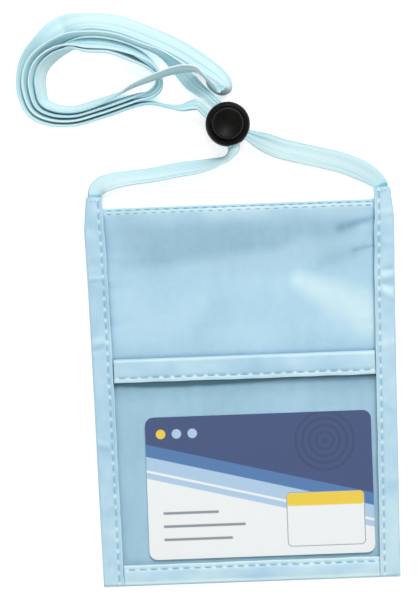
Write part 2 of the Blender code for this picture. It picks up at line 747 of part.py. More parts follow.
sheet_bottom_y = FOLD_RADIUS - HALF_HEIGHT
build_panel("back_panel", sheet_bottom_y, BACK_TOP_Y, back_level, CLOTH, panel_cloth)
build_panel("front_panel", sheet_bottom_y, FRONT_TOP_Y, front_level, CLOTH, panel_cloth)
build_panel("window_sheet", sheet_bottom_y, WINDOW_TOP_Y - FOLD_RADIUS, vinyl_level, VINYL, clear_vinyl)
side_binding("left_binding", -1, binding_cloth)
side_binding("right_binding", 1, binding_cloth)
cross_binding("bottom_binding", -HALF_HEIGHT, BOTTOM_BINDING_Y, 0, SEAM_TOP_Z, binding_cloth)
cross_binding(
    "window_binding",
    WINDOW_TOP_Y,
    WINDOW_TOP_Y - WINDOW_BINDING_WIDTH,
    WINDOW_FLAP_Z,
    SEAM_TOP_Z,
    binding_cloth,
)
build_card(card_plastic)
build_lock_housing(lock_plastic)
build_lock_button(lock_plastic)
build_spring(spring_wire)

total_length = 0.0
for name, rows in (
    ("strap_left_run", run_route(LEFT_RUN_ROUTE, -1, LEFT_MOUTH_SPREAD, LEFT_MOUTH_DROP)),
    ("strap_right_run", run_route(RIGHT_RUN_ROUTE, 1, 0, 0)),
    ("strap_coil", coil_route()),
):
    centres, sections = strap_sections(rows)
    loft(name, sections, strap_tape)
    length = route_length(centres)
    total_length += length
    print(f"{name}: {length:.4f} m long, least gap to itself {least_gap(centres, sections):.5f} m")
print(f"whole strap: {total_length:.4f} m long")
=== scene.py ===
"""Neck wallet: a flat nylon pouch with bound edges and a clear card window, its card,
a long woven neck strap laid in a coil and a sprung cord lock.

The wallet lies on its back on the table, z = 0. +X is the right-hand side of its front,
+Y runs up to the strap and +Z comes out of the front. Everything is in metres.
"""

import math

import bmesh
import bpy
import numpy as np
from mathutils import Matrix, Vector, noise


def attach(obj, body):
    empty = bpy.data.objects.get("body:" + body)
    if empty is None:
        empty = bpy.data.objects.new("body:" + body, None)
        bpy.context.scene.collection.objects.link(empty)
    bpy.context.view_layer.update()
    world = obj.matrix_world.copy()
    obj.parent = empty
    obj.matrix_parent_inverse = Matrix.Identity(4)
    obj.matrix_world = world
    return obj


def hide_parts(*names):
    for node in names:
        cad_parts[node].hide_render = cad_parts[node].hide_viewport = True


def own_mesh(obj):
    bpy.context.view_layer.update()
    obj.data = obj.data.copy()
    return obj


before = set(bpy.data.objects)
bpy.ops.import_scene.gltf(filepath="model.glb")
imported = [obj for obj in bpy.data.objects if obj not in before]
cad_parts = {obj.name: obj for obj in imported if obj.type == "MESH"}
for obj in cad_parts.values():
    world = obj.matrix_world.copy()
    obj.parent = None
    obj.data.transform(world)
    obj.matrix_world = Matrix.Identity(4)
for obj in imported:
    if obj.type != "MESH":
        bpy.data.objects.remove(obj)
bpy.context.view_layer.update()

# The camera looks straight down from far away with a long lens, so that the sides of the
# wallet hardly show. It is turned a little, because the wallet lay a little askew.
VIEW_CENTRE = (-0.0125, 0.0334)
VIEW_HEIGHT = 1.896
VIEW_LENS = 300
VIEW_SENSOR = 36
VIEW_REACH = 20
VIEW_TURN = math.radians(-2.1)


def add_object(name, data):
    made = bpy.data.objects.new(name, data)
    bpy.context.collection.objects.link(made)
    return made


view = bpy.data.cameras.new("view")
view.lens = VIEW_LENS
view.sensor_width = VIEW_SENSOR
view.clip_end = VIEW_REACH
camera = add_object("camera", view)
camera.location = (*VIEW_CENTRE, VIEW_HEIGHT)
camera.rotation_euler.z = VIEW_TURN
bpy.context.scene.camera = camera
bpy.context.scene.view_settings.view_transform = "Standard"

# The light is that of a plain studio: a pale room that lights from all round, a wide
# lamp beyond the strap end, whose light falls across the cloth, and a weak one opposite.
# The camera itself sees the room as white. A lamp has a name, a place, a size and a power.
ROOM_STRENGTH = 0.42
LAMPS = (
    ("key_lamp", (0.3, 1.05, 1.3), 0.6, 17.0),
    ("fill_lamp", (-0.6, -0.8, 1.2), 0.9, 3.0),
)


def put(tree, kind, inputs, output=0, **settings):
    """Adds a node and gives its output. Each input is a value or the output of another node."""
    node = tree.nodes.new("ShaderNode" + kind)
    for name, value in settings.items():
        setattr(node, name, value)
    for socket, value in inputs.items():
        if isinstance(value, bpy.types.NodeSocket):
            tree.links.new(value, node.inputs[socket])
        else:
            node.inputs[socket].default_value = value
    return node.outputs[output]


world = bpy.data.worlds.new("room")
bpy.context.scene.world = world
world.use_nodes = True
tree = world.node_tree
room = tree.nodes["Background"]
room.inputs["Color"].default_value = (1, 1, 1, 1)
direct = put(tree, "LightPath", {}, "Is Camera Ray")
backdrop = put(tree, "MapRange", {0: direct, 3: ROOM_STRENGTH, 4: 1.0})
tree.links.new(backdrop, room.inputs["Strength"])
for name, place, size, power in LAMPS:
    lamp = bpy.data.lights.new(name, "AREA")
    lamp.size = size
    lamp.energy = power
    holder = add_object(name, lamp)
    holder.location = place
    holder.rotation_euler = (-Vector(place)).to_track_quat("-Z", "Y").to_euler()

# The floor is a plain white board. It glows a little for the camera, in reflections and
# through the clear window. Deep between two lengths of the strap it is painted with a
# cyan shade that stands for the light coming through the tape: a shade for each step
# of how open it lies.
FLOOR_HALF_SIZE = 2.0
FLOOR_DROP = 0.0002
FLOOR_GLOW = 0.62
FLOOR_SHADE_REACH = 0.006
FLOOR_SHADES = ((0.1, 0.26, 0.33), (0.42, 0.74, 0.83), (0.68, 0.9, 0.94), (0.86, 0.86, 0.86))
FLOOR_STEPS = (0.0, 0.16, 0.34, 0.5)


def add_shape(name, shape):
    """Makes a smooth object of a shape that is done."""
    mesh = bpy.data.meshes.new(name)
    shape.to_mesh(mesh)
    shape.free()
    mesh.shade_smooth()
    return add_object(name, mesh)


def new_finish(name, color, roughness, **sockets):
    """A material of one Principled shader, with its node tree and the shader."""
    made = bpy.data.materials.new(name)
    made.use_nodes = True
    shader = made.node_tree.nodes["Principled BSDF"]
    shader.inputs["Base Color"].default_value = (*color, 1)
    shader.inputs["Roughness"].default_value = roughness
    for socket, value in sockets.items():
        shader.inputs[socket.replace("_", " ")].default_value = value
    return made, made.node_tree, shader


def calc(tree, operation, first, second=0.0, third=0.0):
    return put(tree, "Math", {0: first, 1: second, 2: third}, operation=operation)


def shade_by(tree, shader, tone, shades, steps=None):
    """Colours the shader by a tone from 0 to 1, through shades from the darkest to the palest.

    The shades lie at even steps of the tone, unless their steps are given.
    """
    ramp = tree.nodes.new("ShaderNodeValToRGB")
    ends = ramp.color_ramp.elements
    steps = steps or [index / (len(shades) - 1) for index in range(len(shades))]
    for index, (step, shade) in enumerate(zip(steps, shades)):
        if index > 1:
            ends.new(step)
        ends[index].position = step
        ends[index].color = (*shade, 1)
    tree.links.new(tone, ramp.inputs[0])
    tree.links.new(ramp.outputs[0], shader.inputs["Base Color"])
    return ramp.outputs[0]


shape = bmesh.new()
bmesh.ops.create_grid(shape, x_segments=2, y_segments=2, size=FLOOR_HALF_SIZE)
bmesh.ops.translate(shape, verts=shape.verts, vec=(0, 0, -FLOOR_DROP))
floor = add_shape("floor", shape)
finish, tree, shader = new_finish("floor_board", FLOOR_SHADES[-1], 0.9)
rays = tree.nodes.new("ShaderNodeLightPath").outputs
seen = calc(tree, "MAXIMUM", rays["Is Camera Ray"], rays["Is Glossy Ray"])
seen = calc(tree, "MAXIMUM", seen, rays["Is Transmission Ray"])
glow = calc(tree, "MULTIPLY", seen, FLOOR_GLOW / FLOOR_SHADES[-1][0])
tree.links.new(glow, shader.inputs["Emission Strength"])
# Painted shade: the board's colour turns cyan and dark where it lies deep between lengths of the
# strap.
open_sky = put(tree, "AmbientOcclusion", {"Distance": FLOOR_SHADE_REACH}, "AO")
board_with_painted_gap_shade = shade_by(tree, shader, open_sky, FLOOR_SHADES, FLOOR_STEPS)
tree.links.new(board_with_painted_gap_shade, shader.inputs["Emission Color"])
floor.data.materials.append(finish)

# Neck strap: one flat tape, braided in pale cyan polyester, 8 mm wide and 0.9 mm thick.
# Its ends are sewn into the tops of the side bindings, both runs are gathered through
# the cord lock, and the rest lies in a coil of four strands on the table, on its edge.
STRAP_WIDTH = 0.008
STRAP_THICKNESS = 0.0009
STRAP_TABLE_GAP = 0.00015
STRAP_STEP = 0.0008
STRAP_RING = 52
STRAP_RIB = 0.001
STRAP_RIB_DEPTH = 0.00005
STRAP_CREASE = 0.00016
STRAP_SWAY = 0.00018
SELVEDGE_ROUNDING = 0.45
STRAP_ENTRY_Y = 0.0742
STRAP_ENTRY_SHADOW_LENGTH = 0.0006
STRAP_TONE = 0.74
# The strap's shades run from a painted deep shade, through the tape's own cyan, to a painted
# highlight.
STRAP_SHADES = ((0.22, 0.56, 0.7), (0.54, 0.84, 0.92), (0.75, 0.955, 0.975), (0.85, 0.985, 0.99))

# The braid's threads, in mm: their pitch along the tape, the width of a rib, half of a
# zigzag's width and its slope.
BRAID_PITCH = 0.78
BRAID_RIB = 0.8
BRAID_HALF = 0.8
BRAID_SLOPE = 0.9

# A row of the strap's route holds x, y, the lean of the tape in degrees (0 lies flat, and
# a positive one lifts the edge on the left of the way it runs), the height of its lower
# edge over the table, its width and its thickness.
FLAT = (STRAP_WIDTH, STRAP_THICKNESS)
SEWN = (0.0052, STRAP_THICKNESS)
GATHERED = (0.004, 0.0015)
TURNED_OVER = -180
SEWN_LIFT = 0.00156
LOCK_LIFT = 0.00695
LOCK_CENTRE = (-0.003, 0.09965)
LOCK_TURN = math.radians(-46)
LEFT_RUN = (
    (-0.0543, 0.0701, 0, SEWN_LIFT, *SEWN),
    (-0.0543, 0.0735, 0, SEWN_LIFT, *SEWN),
    (-0.0540, 0.0758, -8, 0.0009, 0.0058, 0.0009),
    (-0.0519, 0.0782, -24, 0.0002, 0.0070, 0.0009),
    (-0.0470, 0.0798, -40, 0, *FLAT),
    (-0.0399, 0.0808, -46, 0, *FLAT),
    (-0.0327, 0.0815, -47, 0, *FLAT),
    (-0.0224, 0.0831, -46, 0, *FLAT),
    (-0.0141, 0.0841, -52, 0, *FLAT),
    (-0.0083, 0.0851, -64, 0.0004, *FLAT),
    (-0.0045, 0.0864, -74, 0.0014, 0.0075, 0.0009),
    (-0.0024, 0.0884, -60, 0.0040, 0.0058, 0.0012),
)
RIGHT_RUN = (
    (0.0076, 0.0936, -184, 0.0054, 0.0060, 0.0011),
    (0.0112, 0.0921, -186, 0.0029, 0.0076, 0.0009),
    (0.0166, 0.0899, -184, 0.0007, *FLAT),
    (0.0239, 0.0879, -182, 0, *FLAT),
    (0.0332, 0.0855, -180, 0, *FLAT),
    (0.0400, 0.0835, -178, 0, *FLAT),
    (0.0463, 0.0808, -176, 0, *FLAT),
    (0.0512, 0.0779, -175, 0.0002, 0.0070, 0.0009),
    (0.0537, 0.0755, -177, 0.0009, 0.0058, 0.0009),
    (0.0543, 0.0731, -180, SEWN_LIFT, *SEWN),
    (0.0543, 0.0701, -180, SEWN_LIFT, *SEWN),
)
FROM_LOCK = (
    (-0.0166, 0.1072, 42, 0.0046, 0.0049, 0.0013),
    (-0.0203, 0.1067, 70, 0.0014, 0.0075, 0.0009),
    (-0.0250, 0.1072, 80, 0, *FLAT),
    (-0.0306, 0.1085, 82, 0, *FLAT),
    (-0.0351, 0.1086, 80, 0, *FLAT),
)
OVER_THE_COIL = (
    (-0.0207, 0.1292, -34, 0, *FLAT),
    (-0.0130, 0.1241, -35, 0, *FLAT),
    (-0.0064, 0.1190, -42, 0, *FLAT),
    (-0.0033, 0.1157, -56, 0, *FLAT),
    (-0.0024, 0.1132, -70, 0, *FLAT),
    (-0.0046, 0.1119, -76, 0, *FLAT),
    (-0.0076, 0.1131, -80, 0.0012, *FLAT),
    (-0.0091, 0.1154, -84, 0.0049, *FLAT),
    (-0.0115, 0.1180, -86, 0.0078, *FLAT),
    (-0.0146, 0.1205, -77, 0.0086, *FLAT),
    (-0.0188, 0.1209, -72, 0.0086, *FLAT),
    (-0.0237, 0.1201, -72, 0.0087, *FLAT),
    (-0.0290, 0.1185, -75, 0.0088, *FLAT),
    (-0.0344, 0.1166, -79, 0.0066, *FLAT),
    (-0.0385, 0.1150, -84, 0.0034, *FLAT),
    (-0.0429, 0.1130, -94, 0.0010, *FLAT),
)
INNER_TURN = (
    (-0.0389, 0.1261, -72, 0, *FLAT),
    (-0.0325, 0.1223, -84, 0, *FLAT),
    (-0.0297, 0.1197, -86, 0, *FLAT),
    (-0.0292, 0.1169, -90, 0, *FLAT),
    (-0.0304, 0.1145, -90, 0, *FLAT),
    (-0.0330, 0.1129, -92, 0, *FLAT),
    (-0.0368, 0.1120, -97, 0, *FLAT),
)
OUTER_TURN = (
    (-0.0356, 0.1275, -72, 0, *FLAT),
    (-0.0301, 0.1231, -86, 0, *FLAT),
    (-0.0277, 0.1188, -86, 0, *FLAT),
    (-0.0272, 0.1152, -90, 0, *FLAT),
    (-0.0290, 0.1123, -90, 0, *FLAT),
    (-0.0325, 0.1107, -93, 0, *FLAT),
    (-0.0366, 0.1101, -97, 0, *FLAT),
)
TO_LOCK = (
    (-0.0280, 0.1278, -104, 0, *FLAT),
    (-0.0241, 0.1248, -114, 0, *FLAT),
    (-0.0205, 0.1211, -128, 0, *FLAT),
    (-0.0171, 0.1170, -136, 0.0008, *FLAT),
    (-0.0136, 0.1133, -152, 0.0044, 0.0054, 0.0012),
)

# The rows in the lock and just past it: how far along its slot each lies, from the
# wallet's side to the coil's, and how far aside of its middle the two strands are. The
# left run comes in from further aside and a little lower.
LOCK_ROWS = (0.00777, 0.0058, 0.0029, 0.0, -0.00407, -0.01154, -0.01284)
STRAND_ASIDE = 0.00225
ENTRY = ((-0.00435, 0.0009), (-0.00295, 0.0))

# The coil's outer line, each point with the side that it belongs to (0 is the side next
# to the wallet, 1 the left end, 2 the upper left corner, 3 past the corner and 4 the far
# side). The strands lie inside it: how far in each lies on those sides, and its lean.
COIL_OUTLINE = (
    (-0.0399, 0.1061, 0.0),
    (-0.0505, 0.1029, 0.0),
    (-0.0609, 0.1005, 0.0),
    (-0.0708, 0.1011, 0.35),
    (-0.0784, 0.1050, 0.7),
    (-0.0822, 0.1131, 1.0),
    (-0.0826, 0.1202, 1.0),
    (-0.0804, 0.1282, 1.3),
    (-0.0746, 0.1356, 2.0),
    (-0.0664, 0.1421, 3.0),
    (-0.0565, 0.1440, 4.0),
    (-0.0437, 0.1427, 4.0),
    (-0.0314, 0.1381, 4.0),
)
STRANDS = (
    ((0.00135, 0.00245, 0.00310, 0.00350, 0.00330), (78, 60, 38, 4, -35)),
    ((0.00300, 0.00450, 0.00640, 0.00810, 0.00800), (-101, -120, -117, -108, -98)),
    ((0.00465, 0.00695, 0.00860, 0.01090, 0.01165), (-101, -120, -106, -84, -63)),
    ((0.00685, 0.00935, 0.01080, 0.01305, 0.01335), (-110, -120, -110, -92, -64)),
)


def lock_row(along, aside, lean=0, drop=0.0):
    """A row of the route in the cord lock: along its slot towards the wallet, and aside."""
    x = LOCK_CENTRE[0] + math.cos(LOCK_TURN) * along - math.sin(LOCK_TURN) * aside
    y = LOCK_CENTRE[1] + math.sin(LOCK_TURN) * along + math.cos(LOCK_TURN) * aside
    return (x, y, lean, LOCK_LIFT - drop, *GATHERED)


def coil_side(strand, first, last):
    """Rows of one strand of the coil, laid inside the coil's outer line."""
    offsets, leans = STRANDS[strand]
    rows = []
    for index in range(first, last + 1):
        x, y, side = COIL_OUTLINE[index]
        before = COIL_OUTLINE[max(index - 1, 0)]
        after = COIL_OUTLINE[min(index + 1, len(COIL_OUTLINE) - 1)]
        ahead = Vector((after[0] - before[0], after[1] - before[1])).normalized()
        offset = np.interp(side, range(len(offsets)), offsets)
        lean = np.interp(side, range(len(leans)), leans)
        rows.append((x + ahead.y * offset, y - ahead.x * offset, lean, 0, *FLAT))
    return rows


def route_point(rows, knots, at):
    """One point of a centripetal Catmull-Rom curve, between the second and third rows."""

    def mix(near, far, low, high):
        share = (at - knots[low]) / (knots[high] - knots[low])
        return near * (1 - share) + far * share

    first = mix(rows[0], rows[1], 0, 1)
    middle = mix(rows[1], rows[2], 1, 2)
    last = mix(rows[2], rows[3], 2, 3)
    return mix(mix(first, middle, 0, 2), mix(middle, last, 1, 3), 1, 2)


def bell(distance, width):
    """1 at no distance, falling off on both sides and nearly 0 at two widths."""
    return math.exp(-((distance / width) ** 2))


def lay_grid(name, columns, rows, place, closed=False):
    """A cloth of columns by rows faces.

    place(column, row) gives a point, its place on the flat cloth in mm and its tone, in
    which painted light and shade are mixed with the cloth's own mottling.
    """
    cloth = bmesh.new()
    marks = cloth.loops.layers.uv.new("cloth")
    tones = cloth.verts.layers.float.new("tone")
    bmesh.ops.create_grid(cloth, x_segments=columns, y_segments=rows, size=1)
    cloth.verts.index_update()
    spots = []
    for vert in cloth.verts:
        column = round((vert.co.x + 1) * columns / 2)
        row = round((vert.co.y + 1) * rows / 2)
        vert.co, spot, vert[tones] = place(column, row)
        spots.append(spot)
    for face in cloth.faces:
        for loop in face.loops:
            loop[marks].uv = spots[loop.vert.index]
    if closed:
        bmesh.ops.remove_doubles(cloth, verts=cloth.verts, dist=1e-7)
        ends = [edge for edge in cloth.edges if edge.is_boundary]
        bmesh.ops.holes_fill(cloth, edges=ends, sides=0)
        bmesh.ops.recalc_face_normals(cloth, faces=cloth.faces)
    return add_shape(name, cloth)


def ripple(tree, value, pitch, phase=0.0):
    """A wave from 0 to 1 along a value, once in each pitch."""
    turns = calc(tree, "MULTIPLY_ADD", value, math.tau / pitch, phase)
    return calc(tree, "MULTIPLY_ADD", calc(tree, "SINE", turns), 0.5, 0.5)


def split(tree, vector):
    """The x, y and z of a vector."""
    node = tree.nodes.new("ShaderNodeSeparateXYZ")
    tree.links.new(vector, node.inputs[0])
    return node.outputs


def cloth_axes(tree):
    """The place on the flat cloth, in mm: its first axis and its second one."""
    return split(tree, put(tree, "UVMap", {}, uv_map="cloth"))[:2]


def emboss(tree, shader, height, distance, strength):
    raised = put(tree, "Bump", {"Height": height, "Distance": distance, "Strength": strength})
    tree.links.new(raised, shader.inputs["Normal"])


last = len(COIL_OUTLINE) - 1
route = list(LEFT_RUN)
for along, (aside, drop) in zip(LOCK_ROWS, ENTRY):
    route.append(lock_row(along, aside, drop=drop))
for along in LOCK_ROWS[len(ENTRY) :]:
    route.append(lock_row(along, -STRAND_ASIDE))
route += FROM_LOCK
route += coil_side(0, 0, last)
route += OVER_THE_COIL
route += coil_side(3, 1, last - 1)
route += INNER_TURN
route += coil_side(2, 0, last - 1)
route += OUTER_TURN
route += coil_side(1, 0, last)
route += TO_LOCK
for along in reversed(LOCK_ROWS):
    route.append(lock_row(along, STRAND_ASIDE, lean=TURNED_OVER))
route += RIGHT_RUN

rows = [np.array(row, dtype=float) for row in route]
rows = [2 * rows[0] - rows[1], *rows, 2 * rows[-1] - rows[-2]]
stations = []
for four in zip(rows, rows[1:], rows[2:], rows[3:]):
    knots = [0.0]
    for near, far in zip(four, four[1:]):
        knots.append(knots[-1] + math.sqrt(math.dist(near[:2], far[:2])))
    count = max(2, math.ceil(math.dist(four[1][:2], four[2][:2]) / STRAP_STEP))
    for index in range(count):
        at = knots[1] + (knots[2] - knots[1]) * index / count
        stations.append(route_point(four, knots, at))
stations.append(rows[-2])
strap_line = []
for x, y, lean, lift, width, thickness in stations:
    tilt = math.radians(lean)
    half_rise = width / 2 * abs(math.sin(tilt)) + thickness / 2 * abs(math.cos(tilt))
    strap_line.append(Vector((x, y, STRAP_TABLE_GAP + lift + half_rise)))
strap_along = [0.0]
for near, far in zip(strap_line, strap_line[1:]):
    strap_along.append(strap_along[-1] + (far - near).length)


def strap_place(column, row):
    """A point of the tape: column goes round its section, and row along it."""
    _, _, lean, _, width, thickness = stations[row]
    along = strap_along[row]
    before = strap_line[max(row - 1, 0)]
    ahead = (strap_line[min(row + 1, len(strap_line) - 1)] - before).normalized()
    left = Vector((0, 0, 1)).cross(ahead).normalized()
    across = Matrix.Rotation(math.radians(lean), 3, ahead) @ left
    over = ahead.cross(across)
    angle = math.tau * (column % STRAP_RING) / STRAP_RING
    aside = math.copysign(abs(math.cos(angle)) ** SELVEDGE_ROUNDING, math.cos(angle))
    deep = math.copysign(abs(math.sin(angle)) ** SELVEDGE_ROUNDING, math.sin(angle))
    gathered = (STRAP_WIDTH - width) / STRAP_WIDTH
    free = 1 - aside * aside
    crease = noise.noise((along * 28, aside * 3.2, 1.0)) * STRAP_CREASE
    sway = noise.noise((along * 120, 3.0, 0.0)) * STRAP_SWAY
    rib = math.cos(aside * math.pi * width / STRAP_RIB) * STRAP_RIB_DEPTH
    fold = (crease + sway) * free * max(1 - 2 * gathered, 0)
    point = strap_line[row] + across * (aside * width / 2)
    point += over * (deep * (thickness / 2 + rib * free) + fold)
    line = noise.noise((along * 8, aside * 8.5, 5.0))
    thin_line = noise.noise((along * 14, aside * 19, 8.0))
    # Painted light and shade on the creases: lighter where the tape rises, darker where it sinks.
    tone = STRAP_TONE - 0.9 * max(line - 0.1, 0) - 0.7 * abs(thin_line) + crease * 900
    # Painted shade in stripes where the tape is gathered through the lock, for its folds.
    tone -= gathered * (0.15 + 0.4 * math.sin(aside * 9 + along * 60))
    # A painted shadow where the tape goes in under the top of a binding.
    from_entry = strap_line[row].y - STRAP_ENTRY_Y
    tone -= (0.7 - 0.4 * aside) * bell(from_entry, STRAP_ENTRY_SHADOW_LENGTH)
    return point, (along * 1000, aside * STRAP_WIDTH * 500), tone


strap = lay_grid("neck_strap", STRAP_RING, len(stations) - 1, strap_place, closed=True)
finish, tree, shader = new_finish("braided_strap", STRAP_SHADES[2], 0.8)
shader.inputs["Specular IOR Level"].default_value = 0.15
length_way, width_way = cloth_axes(tree)
zigzag = calc(tree, "PINGPONG", width_way, BRAID_HALF)
slant = calc(tree, "MULTIPLY_ADD", zigzag, BRAID_SLOPE, length_way)
braid = ripple(tree, slant, BRAID_PITCH)
ribs = ripple(tree, width_way, BRAID_RIB)
height = calc(tree, "MULTIPLY_ADD", braid, 0.8, calc(tree, "MULTIPLY", ribs, 0.5))
tone = put(tree, "Attribute", {}, output=2, attribute_name="tone")
tone = calc(tree, "MULTIPLY_ADD", calc(tree, "SUBTRACT", height, 0.65), 0.75, tone)
shade_by(tree, shader, tone, STRAP_SHADES)
emboss(tree, shader, height, 0.00008, 0.8)
strap.data.materials.append(finish)
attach(strap, "wallet")
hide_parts("strap_left_run", "strap_coil", "strap_right_run")

# Panels: the back and front of the pouch, light blue coated nylon, 0.35 mm thick. Both
# are cut to the width of the wallet, their upper edges are turned over once and sewn,
# and the front one is a little shorter and gapes at the mouth of the main pocket. The
# front is creased and mottled. Painted shade lies across its upper part, beside the
# bindings and in the card's window, painted light and shade in patches where it bulges,
# and a painted highlight along both hems.
# The shades run from a painted deep shade, through the cloth's own blue, to a painted highlight.
PANEL_SHADES = ((0.05, 0.2, 0.29), (0.29, 0.515, 0.66), (0.48, 0.74, 0.905), (0.66, 0.9, 0.97))
CLOTH = 0.00035
HALF_HEIGHT = 0.0738
HALF_WIDTH = 0.0588
BINDING_WIDTH = 0.0077
BOTTOM_BINDING_Y = 0.0079 - HALF_HEIGHT
WINDOW_TOP_Y = 0.0122
WINDOW_BINDING_WIDTH = 0.009
WINDOW_LIP_Y = WINDOW_TOP_Y - WINDOW_BINDING_WIDTH
FOLD_RADIUS = 0.0009
EDGE_RISE = 0.0006
EDGE_RISE_LENGTH = 0.005
PUCKER_REACH = 0.006
WINDOW_CREASE = 0.00006
FREE_CREASE = 0.00042
FREE_FROM_Y = 0.014
FREE_EASE = 0.01
BACK_TOP_Y = 0.0695
MOUTH_HIGHLIGHT_HEIGHT = 0.0032
FRONT_TOP_Y = 0.0681
FRONT_Z = 0.0012
GAPE = 0.0049
GAPE_LENGTH = 0.028
HEM_RADIUS = 0.00022
HEM_WIDTH = 0.0042
HEM_LIFT = 0.0003
HEM_REACH = 0.009
NYLON_PITCH = 0.4
PANEL_COLUMNS = 200
PANEL_ROWS = 230
FOLD_ROWS = 6
HEM_ROWS = 6

# How wide the wallet is from its lower edge (0) to its upper one (1), and in the same way
# its side bindings, both as shares of the width above.
SIDE_SHARES = ((0, 0.956), (0.25, 0.967), (0.5, 0.976), (0.75, 0.988), (0.92, 1.0), (1.0, 0.981))
BINDING_SHARES = ((0, 1.0), (0.9, 1.0), (1.0, 0.8))

# The painted shade across the front, where the cloth slopes up into the gape: its lower
# edge and its upper one. Then the patches of painted light and shade where the cloth
# bulges: two ends, the half width of the patch at each, and how much paler it is (or
# darker, below 0). All but the last are in mm.
SHADE_ZONE_LOW = ((-46, -33, 0, 28, 47), (44.5, 46.5, 51.0, 54.0, 59.5))
SHADE_ZONE_TOP = 63.0
PLAIN_TONE = 0.66
LIT_AND_SHADED_PATCHES = (
    ((22.0, 39.5), (49.0, 26.0), 6.0, 15.0, 0.36),
    ((-24.0, 27.5), (-18.0, 31.5), 9.0, 9.0, 0.1),
    ((-11.0, 66.5), (9.0, 66.0), 4.5, 4.5, 0.14),
    ((31.0, 46.0), (47.0, 51.5), 3.5, 4.0, -0.1),
    ((38.0, 59.0), (50.5, 62.4), 3.0, 1.6, -0.2),
    ((43.0, 50.4), (50.2, 51.8), 1.8, 1.2, -0.2),
)


def smooth(share):
    share = min(max(share, 0.0), 1.0)
    return share * share * (3 - 2 * share)


def read_shares(rows, share):
    return float(np.interp(share, [row[0] for row in rows], [row[1] for row in rows]))


def half_width(y):
    return HALF_WIDTH * read_shares(SIDE_SHARES, (y + HALF_HEIGHT) / (2 * HALF_HEIGHT))


def clear_half_width(y):
    share = (y + HALF_HEIGHT) / (2 * HALF_HEIGHT)
    return half_width(y) - BINDING_WIDTH * read_shares(BINDING_SHARES, share)


def creases(x, y, seed):
    """Soft folds of the cloth, from -1 to 1: broad ones, and puckers beside the side seams."""
    broad = noise.noise((x * 38, y * 26, seed))
    fine = noise.noise((x * 95, y * 70, seed + 5))
    beside = math.exp(-max(clear_half_width(y) - abs(x), 0) / PUCKER_REACH)
    pucker = noise.noise((x * 30, y * 260, seed + 9)) * beside
    return broad * 0.55 + fine * 0.22 + pucker * 0.8


def back_level(x, y):
    side = smooth(1 - (clear_half_width(y) - abs(x)) / EDGE_RISE_LENGTH)
    bottom = smooth(1 - (y - BOTTOM_BINDING_Y) / EDGE_RISE_LENGTH)
    return EDGE_RISE * max(side, bottom)


def front_level(x, y):
    across = abs(x) / clear_half_width(y)
    middle = 1 - smooth((across - 0.64) / 0.33)
    upper = smooth(1 - (FRONT_TOP_Y - y) / GAPE_LENGTH)
    free = smooth((y - FREE_FROM_Y) / FREE_EASE)
    crease = creases(x, y, 2.0) * (WINDOW_CREASE + FREE_CREASE * free)
    return FRONT_Z + GAPE * middle * upper + crease


def back_tone(x, y):
    """How light the back cloth is at a place: mottled, with a painted highlight along its hem in
    the mouth of the pocket.
    """
    pale = 0.24 * smooth((y - BACK_TOP_Y + MOUTH_HIGHLIGHT_HEIGHT) / 0.001)
    return PLAIN_TONE + 0.1 * noise.noise((x * 40, y * 40, 1.0)) + pale


def front_tone(x, y):
    """How light the front cloth is at a place, from 0 to 1: mottled, with painted light and shade.
    """
    x, y = x * 1000, y * 1000
    tone = PLAIN_TONE + 0.1 * noise.noise((x * 0.035, y * 0.04, 3.0))
    tone += 0.03 * noise.noise((x * 0.25, y * 0.12, 7.0))
    # Painted shade across the upper front, where the cloth slopes up into the gape of the mouth.
    wave = 2.5 * noise.noise((x * 0.06, 0.0, 4.0))
    low = smooth((y - float(np.interp(x, *SHADE_ZONE_LOW)) - wave + 3) / 6)
    tone -= 0.2 * low * smooth((SHADE_ZONE_TOP + 2.5 + wave * 0.4 - y) / 7) * smooth((x + 58) / 32)
    # Painted light and shade in patches where the cloth bulges.
    for start, end, near_width, far_width, gain in LIT_AND_SHADED_PATCHES:
        reach = Vector(end) - Vector(start)
        share = min(max((Vector((x, y)) - Vector(start)).dot(reach) / reach.length_squared, 0), 1)
        away = (Vector((x, y)) - Vector(start) - reach * share).length
        width = near_width + (far_width - near_width) * share
        tone += gain * smooth(1 - away / width) * (1 + 0.25 * noise.noise((x * 0.1, y * 0.1, 9.0)))
    # A painted shadow beside the lips of the side bindings.
    beside = clear_half_width(y / 1000) * 1000 - abs(x)
    tone -= 0.3 * math.exp(-max(beside, 0) / 0.35) * smooth((y - 14) / 4)
    # A painted highlight along the hem at the mouth.
    tone += 0.2 * smooth((y - FRONT_TOP_Y * 1000 + 1.8) / 0.5)
    # Painted shade over the window and just above its binding, and a little more towards the
    # window.
    band_top = WINDOW_TOP_Y * 1000
    band_low = band_top - WINDOW_BINDING_WIDTH * 1000
    tone -= 0.3 * math.exp(-max(y - band_top, 0) / 0.6) + 0.06 * smooth((22 - y) / 8)
    # In the window, under the binding's lip: a painted shadow, widest on the left, and lighter
    # further down.
    if y < band_low:
        tone += 0.2 * smooth((band_low - y) / 9)
        tone += 0.05 * noise.noise((x * 0.25, y * 0.02, 2.0))
        lifted = 0.4 + 0.6 * smooth((24 - x) / 46) * smooth((x + 54) / 22)
        tone -= (0.5 + 0.16 * lifted) * smooth(1.15 - (band_low - y) / (2.9 * lifted))
    return tone


